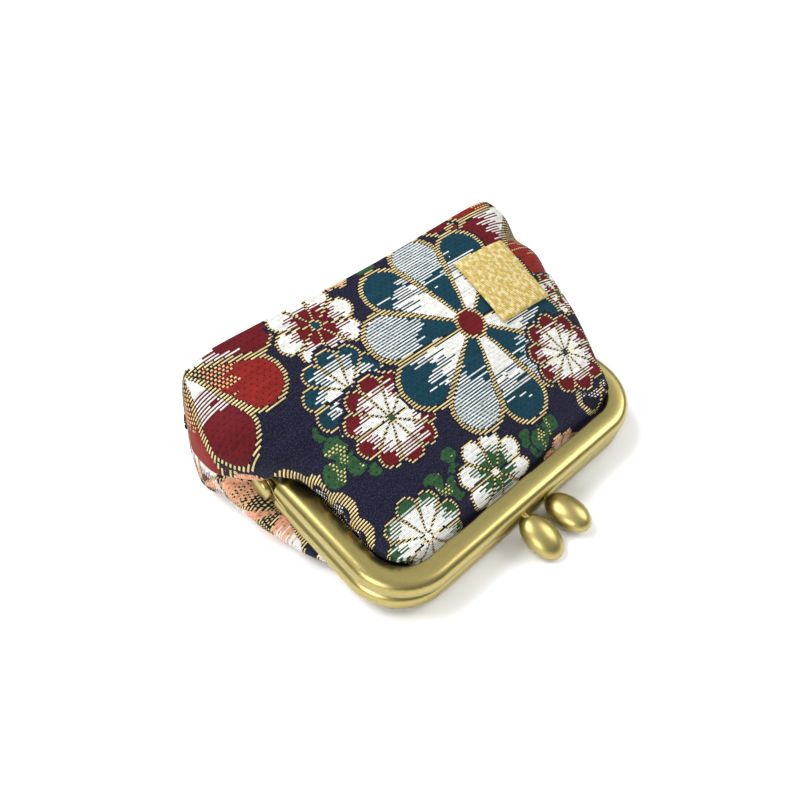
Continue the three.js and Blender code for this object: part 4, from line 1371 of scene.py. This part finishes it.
def brocade_material(colours):
    """Brocade: flowers woven in rows of coloured weft, outlined in gold, on a satin ground."""
    material, wires, shader = new_material("Brocade")
    calc = wires.math
    place = wires.new("ShaderNodeUVMap", uv_map="cloth").outputs[0]
    u, v, _ = wires.parts(place)
    row_place = calc("DIVIDE", v, ROW_PITCH)
    row = calc("FLOOR", row_place)
    second = calc("FLOORED_MODULO", row, 2.0)
    roll = wires.dice(row)
    streak = wires.dice(calc("ADD", calc("FLOOR", calc("MULTIPLY", row, 0.5)), 91.5))
    spot_x, spot_y, petals = wires.parts(wires.attribute("spot").outputs["Vector"])
    radius, heart, turn = wires.parts(wires.attribute("form").outputs["Vector"])
    tip_even, tip_odd, change = wires.parts(wires.attribute("weave").outputs["Vector"])
    line_width, base_even, base_odd = wires.parts(wires.attribute("trim").outputs["Vector"])

    # Each row of threads takes its colours from its own middle
    in_row = calc("MULTIPLY", calc("SUBTRACT", calc("FRACT", row_place), 0.5), ROW_PITCH)
    y = calc("SUBTRACT", spot_y, in_row)
    x = calc("ADD", spot_x, calc("MULTIPLY", calc("SUBTRACT", roll, 0.5), ROW_JITTER))
    reach, odd, distance = nearest_petal(wires, x, y, petals, radius, turn)

    # Where petals, gold outlines and the heart show
    flower = calc("GREATER_THAN", petals, 0.5)
    share = calc("DIVIDE", reach, calc("MAXIMUM", radius, 1.0))
    taper = calc("ADD", calc("MULTIPLY", share, TAPER_GROWTH), TAPER_START)
    taper = calc("MINIMUM", taper, 1.0)
    line_here = calc("MULTIPLY", line_width, taper)
    inner_edge = calc("MULTIPLY", line_here, LINE_IN)
    outer_edge = calc("MULTIPLY", line_here, LINE_OUT)
    in_heart = calc("MULTIPLY", flower, calc("LESS_THAN", reach, heart))
    inside = calc("MULTIPLY", flower, calc("LESS_THAN", distance, inner_edge))
    within = calc("MULTIPLY", flower, calc("LESS_THAN", distance, outer_edge))
    line = calc("MAXIMUM", calc("SUBTRACT", within, inside), 0.0)
    line = calc("MULTIPLY", line, calc("SUBTRACT", 1.0, in_heart))
    petal_edge = calc("SUBTRACT", inner_edge, calc("MULTIPLY", line_width, PETAL_INSET))
    petal = calc("MULTIPLY", flower, calc("LESS_THAN", distance, petal_edge))
    rim_edge = calc("ADD", outer_edge, calc("MULTIPLY", line_width, RIM_OUTSET))
    rim = calc("MULTIPLY", flower, calc("LESS_THAN", distance, rim_edge))
    heart_edge = calc("ADD", heart, calc("MULTIPLY", line_width, HEART_LINE))
    heart_line = calc("SUBTRACT", calc("MULTIPLY", flower, calc("LESS_THAN", reach, heart_edge)),
                      in_heart)

    # Colour of the silk: it changes along each petal in long streaks
    shift = calc("ADD", share, calc("MULTIPLY", calc("SUBTRACT", streak, 0.5), PAIR_SHIFT))
    shift = calc("ADD", shift, calc("MULTIPLY", calc("SUBTRACT", 0.5, second), SECOND_SHIFT))
    drift = row_noise(wires, u, row, *DRIFT_PLACE)
    shift = calc("ADD", shift, calc("MULTIPLY", calc("SUBTRACT", drift, 0.5), DRIFT_SHIFT))
    outer = calc("GREATER_THAN", shift, change)
    tip = wires.mix(odd, wires.attribute("tip_even").outputs["Color"],
                    wires.attribute("tip_odd").outputs["Color"])
    base = wires.mix(odd, wires.attribute("base_even").outputs["Color"],
                     wires.attribute("base_odd").outputs["Color"])
    silk = wires.mix(outer, base, tip)
    weave = wires.blend(outer, wires.blend(odd, base_even, base_odd),
                        wires.blend(odd, tip_even, tip_odd))
    striped = calc("COMPARE", weave, STRIPED, 0.3)
    hatched = calc("COMPARE", weave, HATCHED, 0.3)
    veined = calc("COMPARE", weave, VEINED, 0.3)
    beaded = calc("COMPARE", weave, BEADED, 0.3)
    along_row, over_rows = TWILL_PACE
    twill = calc("SINE", calc("ADD", calc("MULTIPLY", u, along_row),
                              calc("MULTIPLY", row, over_rows)))
    twill_share = calc("ADD", calc("MULTIPLY", twill, TWILL_DEPTH), 1 - TWILL_DEPTH)
    dark_row = calc("MULTIPLY", calc("MULTIPLY", striped, second), twill_share)
    silk = wires.mix(dark_row, silk, STRIPE_DARK)
    dash = calc("FRACT", calc("ADD", calc("DIVIDE", u, DASH_LENGTH),
                              calc("MULTIPLY", row, DASH_SHIFT)))
    gap = calc("MAXIMUM", calc("GREATER_THAN", dash, DASH_GAP), calc("SUBTRACT", 1.0, second))
    silk = wires.mix(calc("MULTIPLY", hatched, gap), silk, opaque(colours.dark))
    stitch = calc("SUBTRACT", 1.0, gap)
    here = calc("GREATER_THAN", wires.noise(place, STREWN_SCALE, 1.0), STREWN_OVER)
    strewn = calc("MULTIPLY", stitch, here)
    silk = wires.mix(calc("MULTIPLY", veined, strewn), silk, opaque(colours.gold))
    silk = wires.mix(calc("MULTIPLY", beaded, strewn), silk, opaque(colours.white))
    pale = wires.band(wires.parts(silk)[1], PALE_FROM, PALE_FULL)
    pin_depth = wires.blend(pale, PIN_DARK, PIN_PALE)
    silk = wires.mix(calc("MULTIPLY", pinholes(wires, u, v), pin_depth), silk,
                     opaque(colours.dark))

    # Gold shows in every second row of an outline, dark silk between
    gold_line = calc("MAXIMUM", line, calc("MULTIPLY", inside, heart_line))
    gold_row = calc("MULTIPLY", gold_line, second)
    fleck = wires.band(wires.noise(place, FLECK_SCALE), *FLECK_LIMITS)
    surface = wires.mix(fleck, opaque(colours.ground), GROUND_FLECK)
    surface = wires.mix(rim, surface, opaque(colours.dark))
    surface = wires.mix(petal, surface, silk)
    surface = wires.mix(in_heart, surface, wires.attribute("heart").outputs["Color"])
    surface = wires.mix(gold_line, surface, opaque(colours.dark))
    surface = wires.mix(gold_row, surface, opaque(colours.gold))

    # Painted shade of the threads, with their random tone from row to row, scales the brocade's colour
    threads = placed_group(wires, thread_weave_group(), Place=place, Weft_Pitch=ROW_PITCH,
                           Warp_Pitch=WARP_PITCH)
    wander = row_noise(wires, u, row, *WANDER_PLACE)
    thread_painted_shade_and_tone = calc("MULTIPLY", threads.outputs["Shade"], wires.blend(wander, *THREAD_TONES))
    wires.join(scaled(wires, surface, thread_painted_shade_and_tone), shader.inputs["Base Color"])

    raised = calc("MAXIMUM", petal, calc("MULTIPLY", gold_line, GOLD_RISE))
    height = calc("MULTIPLY", threads.outputs["Height"], wires.blend(raised, GROUND_RISE, 1.0))
    add_bump(wires, shader, calc("ADD", height, raised), strength=0.5, depth=0.12)
    wires.join(wires.blend(gold_row, SILK_ROUGHNESS, GOLD_ROUGHNESS), shader.inputs["Roughness"])
    wires.join(calc("MULTIPLY", gold_row, GOLD_METALLIC), shader.inputs["Metallic"])
    shader.inputs["Specular IOR Level"].default_value = 0.1
    return material


def lining_material(colours):
    """Lining: plain dark cloth, with the painted shade of its threads."""
    material, wires, shader = new_material("Lining")
    place = wires.new("ShaderNodeUVMap", uv_map="cloth").outputs[0]
    weft, warp = LINING_PITCHES
    threads = placed_group(wires, thread_weave_group(), Place=place, Weft_Pitch=weft,
                           Warp_Pitch=warp)
    # Painted shade of the threads over the lining's colour
    wires.join(scaled(wires, tuple(colours.lining), threads.outputs["Shade"]),
               shader.inputs["Base Color"])
    add_bump(wires, shader, threads.outputs["Height"], strength=0.4, depth=0.05)
    shader.inputs["Roughness"].default_value = 0.8
    return material


def label_material(colours):
    """Woven label: plain gold damask, with the painted shade of its threads."""
    material, wires, shader = new_material("Woven Label")
    place = wires.new("ShaderNodeUVMap", uv_map="cloth").outputs[0]
    weft, warp = LABEL_PITCHES
    threads = placed_group(wires, thread_weave_group(), Place=place, Weft_Pitch=weft,
                           Warp_Pitch=warp)
    patch = wires.band(wires.noise(place, PATCH_SCALE, 3.0), *PATCH_LIMITS)
    gold = wires.mix(patch, opaque(colours.label_gold), PALE_GOLD)
    # Painted shade of the threads over the label's gold
    wires.join(scaled(wires, gold, threads.outputs["Shade"]), shader.inputs["Base Color"])
    add_bump(wires, shader, threads.outputs["Height"], strength=0.6, depth=0.1)
    shader.inputs["Roughness"].default_value = 0.6
    shader.inputs["Specular IOR Level"].default_value = 0.2
    return material


def worn_brass_group():
    """Antique brass: where it is darkened, how rough it is, and its fine brushed lines."""
    name = "Worn Brass"
    if name in bpy.data.node_groups:
        return bpy.data.node_groups[name]
    group = bpy.data.node_groups.new(name, "ShaderNodeTree")
    group.interface.new_socket("Place", in_out="INPUT", socket_type="NodeSocketVector")
    for socket_name in ("Tarnish", "Roughness", "Height"):
        group.interface.new_socket(socket_name, in_out="OUTPUT", socket_type="NodeSocketFloat")
    wires = Wiring(group)
    given = wires.new("NodeGroupInput")
    out = wires.new("NodeGroupOutput")
    cloud = wires.noise(given.outputs["Place"], CLOUD_SCALE, 3.0)
    grain = wires.noise(given.outputs["Place"], GRAIN_SCALE)
    tarnish = wires.math("MULTIPLY", wires.band(cloud, *CLOUD_LIMITS), CLOUD_TARNISH)
    streaks = wires.math("MULTIPLY", wires.band(grain, *GRAIN_LIMITS), GRAIN_TARNISH)
    wires.join(wires.math("ADD", tarnish, streaks), out.inputs["Tarnish"])
    rough = wires.math("ADD", wires.math("MULTIPLY", cloud, CLOUD_ROUGHNESS),
                       wires.math("MULTIPLY", grain, GRAIN_ROUGHNESS))
    wires.join(rough, out.inputs["Roughness"])
    wires.join(grain, out.inputs["Height"])
    return group


def metal_material(name, colours, brushed, roughness):
    """Satin antique brass, darkened in its recesses and brushed in one or two directions."""
    material, wires, shader = new_material(name)
    calc = wires.math
    place = wires.new("ShaderNodeTexCoord").outputs["Object"]
    worn = []
    for stretch in brushed:
        mapping = wires.new("ShaderNodeMapping")
        mapping.inputs["Scale"].default_value = stretch
        wires.join(place, mapping.inputs["Vector"])
        worn.append(placed_group(wires, worn_brass_group(), Place=mapping.outputs[0]))
    x, _, _ = wires.parts(place)
    on_arm = wires.band(calc("ABSOLUTE", x), ARM_START * MM, ARM_FULL * MM)
    tarnish, rough, height = (
        wires.blend(on_arm, worn[0].outputs[socket], worn[-1].outputs[socket])
        for socket in ("Tarnish", "Roughness", "Height")
    )
    hollow = wires.new("ShaderNodeAmbientOcclusion", samples=16, only_local=True)
    hollow.inputs["Distance"].default_value = HOLLOW_REACH * MM
    shut = calc("SUBTRACT", 1.0, wires.band(hollow.outputs["AO"], *HOLLOW_LIMITS))
    darkened = calc("MAXIMUM", tarnish, calc("MULTIPLY", shut, HOLLOW_TARNISH))
    wires.join(wires.mix(darkened, opaque(colours.brass), opaque(colours.tarnish)),
               shader.inputs["Base Color"])
    wires.join(calc("ADD", rough, roughness), shader.inputs["Roughness"])
    add_bump(wires, shader, height, strength=0.15, depth=0.02)
    shader.inputs["Metallic"].default_value = 1.0
    return material


def brass_material(colours):
    """Brass of the clasp and the rivets, brushed along the mouth bar and along the arms."""
    brushed = (BAR_BRUSHED, ARM_BRUSHED)
    return metal_material("Antique Brass", colours, brushed, CLASP_ROUGHNESS)


def knob_material(colours):
    """Brass of the knobs, a little rougher and brushed along them."""
    return metal_material("Knob Brass", colours, (KNOB_BRUSHED,), KNOB_ROUGHNESS)


# Stage

# Floor and sky: the floor's size in metres, its grey and roughness, and the sky's greys at the
# horizon and overhead, with the heights between which they blend and its strength
FLOOR_SIZE = 4
FLOOR_GREY = (0.93, 0.93, 0.93, 1)
FLOOR_ROUGHNESS = 0.7
SKY_LOW = (0.22, 0.22, 0.22, 1)
SKY_HIGH = (0.95, 0.95, 0.95, 1)
SKY_LIMITS = (0.15, 0.85)
SKY_STRENGTH = 0.7

# Square lamps: name, place and size in metres, power in watts; all aim at one point
LAMPS = (
    ("key", (-0.25, 0.35, 0.65), 0.5, 6.5),
    ("side", (-0.6, -0.25, 0.3), 0.3, 2.2),
    ("fill", (0.5, -0.3, 0.5), 0.4, 2.4),
)
LAMP_AIM = (0, 0, 0.02)

# Camera: place in metres, turn in degrees, focal length and sensor width in millimetres
CAMERA_PLACE = (-0.092028, -0.093393, 0.135038)
CAMERA_TURN = (48.75, 3.85, -43.86)
CAMERA_LENS = 34.862
SENSOR_WIDTH = 36


class PURSE_OT_stage(bpy.types.Operator):
    """Set up the pale floor, the soft studio light and the camera"""

    bl_idname = "purse.stage"
    bl_label = "Stage"

    def execute(self, context):
        scene = context.scene
        deselect()
        bpy.ops.mesh.primitive_plane_add(size=FLOOR_SIZE, location=(0, 0, 0))
        floor = context.object
        floor.name = "floor"
        material, _, shader = new_material("Pale Floor")
        shader.inputs["Base Color"].default_value = FLOOR_GREY
        shader.inputs["Roughness"].default_value = FLOOR_ROUGHNESS
        floor.data.materials.append(material)
        world = bpy.data.worlds.new("Studio")
        world.use_nodes = True
        wires = Wiring(world.node_tree)
        outward = wires.new("ShaderNodeTexCoord").outputs["Generated"]
        _, _, up = wires.parts(outward)
        sky = wires.mix(wires.band(up, *SKY_LIMITS), SKY_LOW, SKY_HIGH)
        background = world.node_tree.nodes["Background"]
        wires.join(sky, background.inputs["Color"])
        background.inputs["Strength"].default_value = SKY_STRENGTH
        scene.world = world
        for name, place, size, power in LAMPS:
            lamp = bpy.data.lights.new(name, "AREA")
            lamp.shape = "SQUARE"
            lamp.size = size
            lamp.energy = power
            lamp_object = bpy.data.objects.new(name, lamp)
            lamp_object.location = place
            aim = Vector(LAMP_AIM) - Vector(place)
            lamp_object.rotation_euler = aim.to_track_quat("-Z", "Y").to_euler()
            context.collection.objects.link(lamp_object)
        camera = bpy.data.cameras.new("camera")
        camera.sensor_width = SENSOR_WIDTH
        camera.lens = CAMERA_LENS
        camera.clip_start = 0.01
        camera.clip_end = 10
        camera_object = bpy.data.objects.new("camera", camera)
        camera_object.location = CAMERA_PLACE
        camera_object.rotation_euler = [math.radians(angle) for angle in CAMERA_TURN]
        context.collection.objects.link(camera_object)
        scene.camera = camera_object
        scene.view_settings.view_transform = "Standard"
        return {"FINISHED"}


class PURSE_PT_panel(bpy.types.Panel):
    """Steps that build the purse"""

    bl_idname = "PURSE_PT_panel"
    bl_label = "Brocade Purse"
    bl_space_type = "VIEW_3D"
    bl_region_type = "UI"
    bl_category = "Purse"

    def draw(self, context):
        layout = self.layout
        for operator in STEPS:
            layout.operator(operator.bl_idname)
        for group in (context.scene.purse_clasp, context.scene.purse_fittings,
                      context.scene.purse_bag, context.scene.purse_colours):
            box = layout.box()
            for name in group.bl_rna.properties.keys():
                if name not in ("rna_type", "name"):
                    box.prop(group, name)


STEPS = (PURSE_OT_stage, PURSE_OT_clasp, PURSE_OT_knobs, PURSE_OT_rivets, PURSE_OT_bag,
         PURSE_OT_label)
GROUPS = (
    ("purse_clasp", ClaspSizes),
    ("purse_fittings", FittingSizes),
    ("purse_bag", BagSizes),
    ("purse_colours", PurseColours),
)


def register():
    for name, group in GROUPS:
        bpy.utils.register_class(group)
        setattr(bpy.types.Scene, name, PointerProperty(type=group))
    for operator in STEPS:
        bpy.utils.register_class(operator)
    bpy.utils.register_class(PURSE_PT_panel)


def unregister():
    bpy.utils.unregister_class(PURSE_PT_panel)
    for operator in reversed(STEPS):
        bpy.utils.unregister_class(operator)
    for name, group in reversed(GROUPS):
        delattr(bpy.types.Scene, name)
        bpy.utils.unregister_class(group)


def main():
    register()
    bpy.ops.purse.stage()
    bpy.ops.purse.clasp()
    bpy.ops.purse.knobs()
    bpy.ops.purse.rivets()
    bpy.ops.purse.bag()
    bpy.ops.purse.label()


if __name__ == "__main__":
    main()
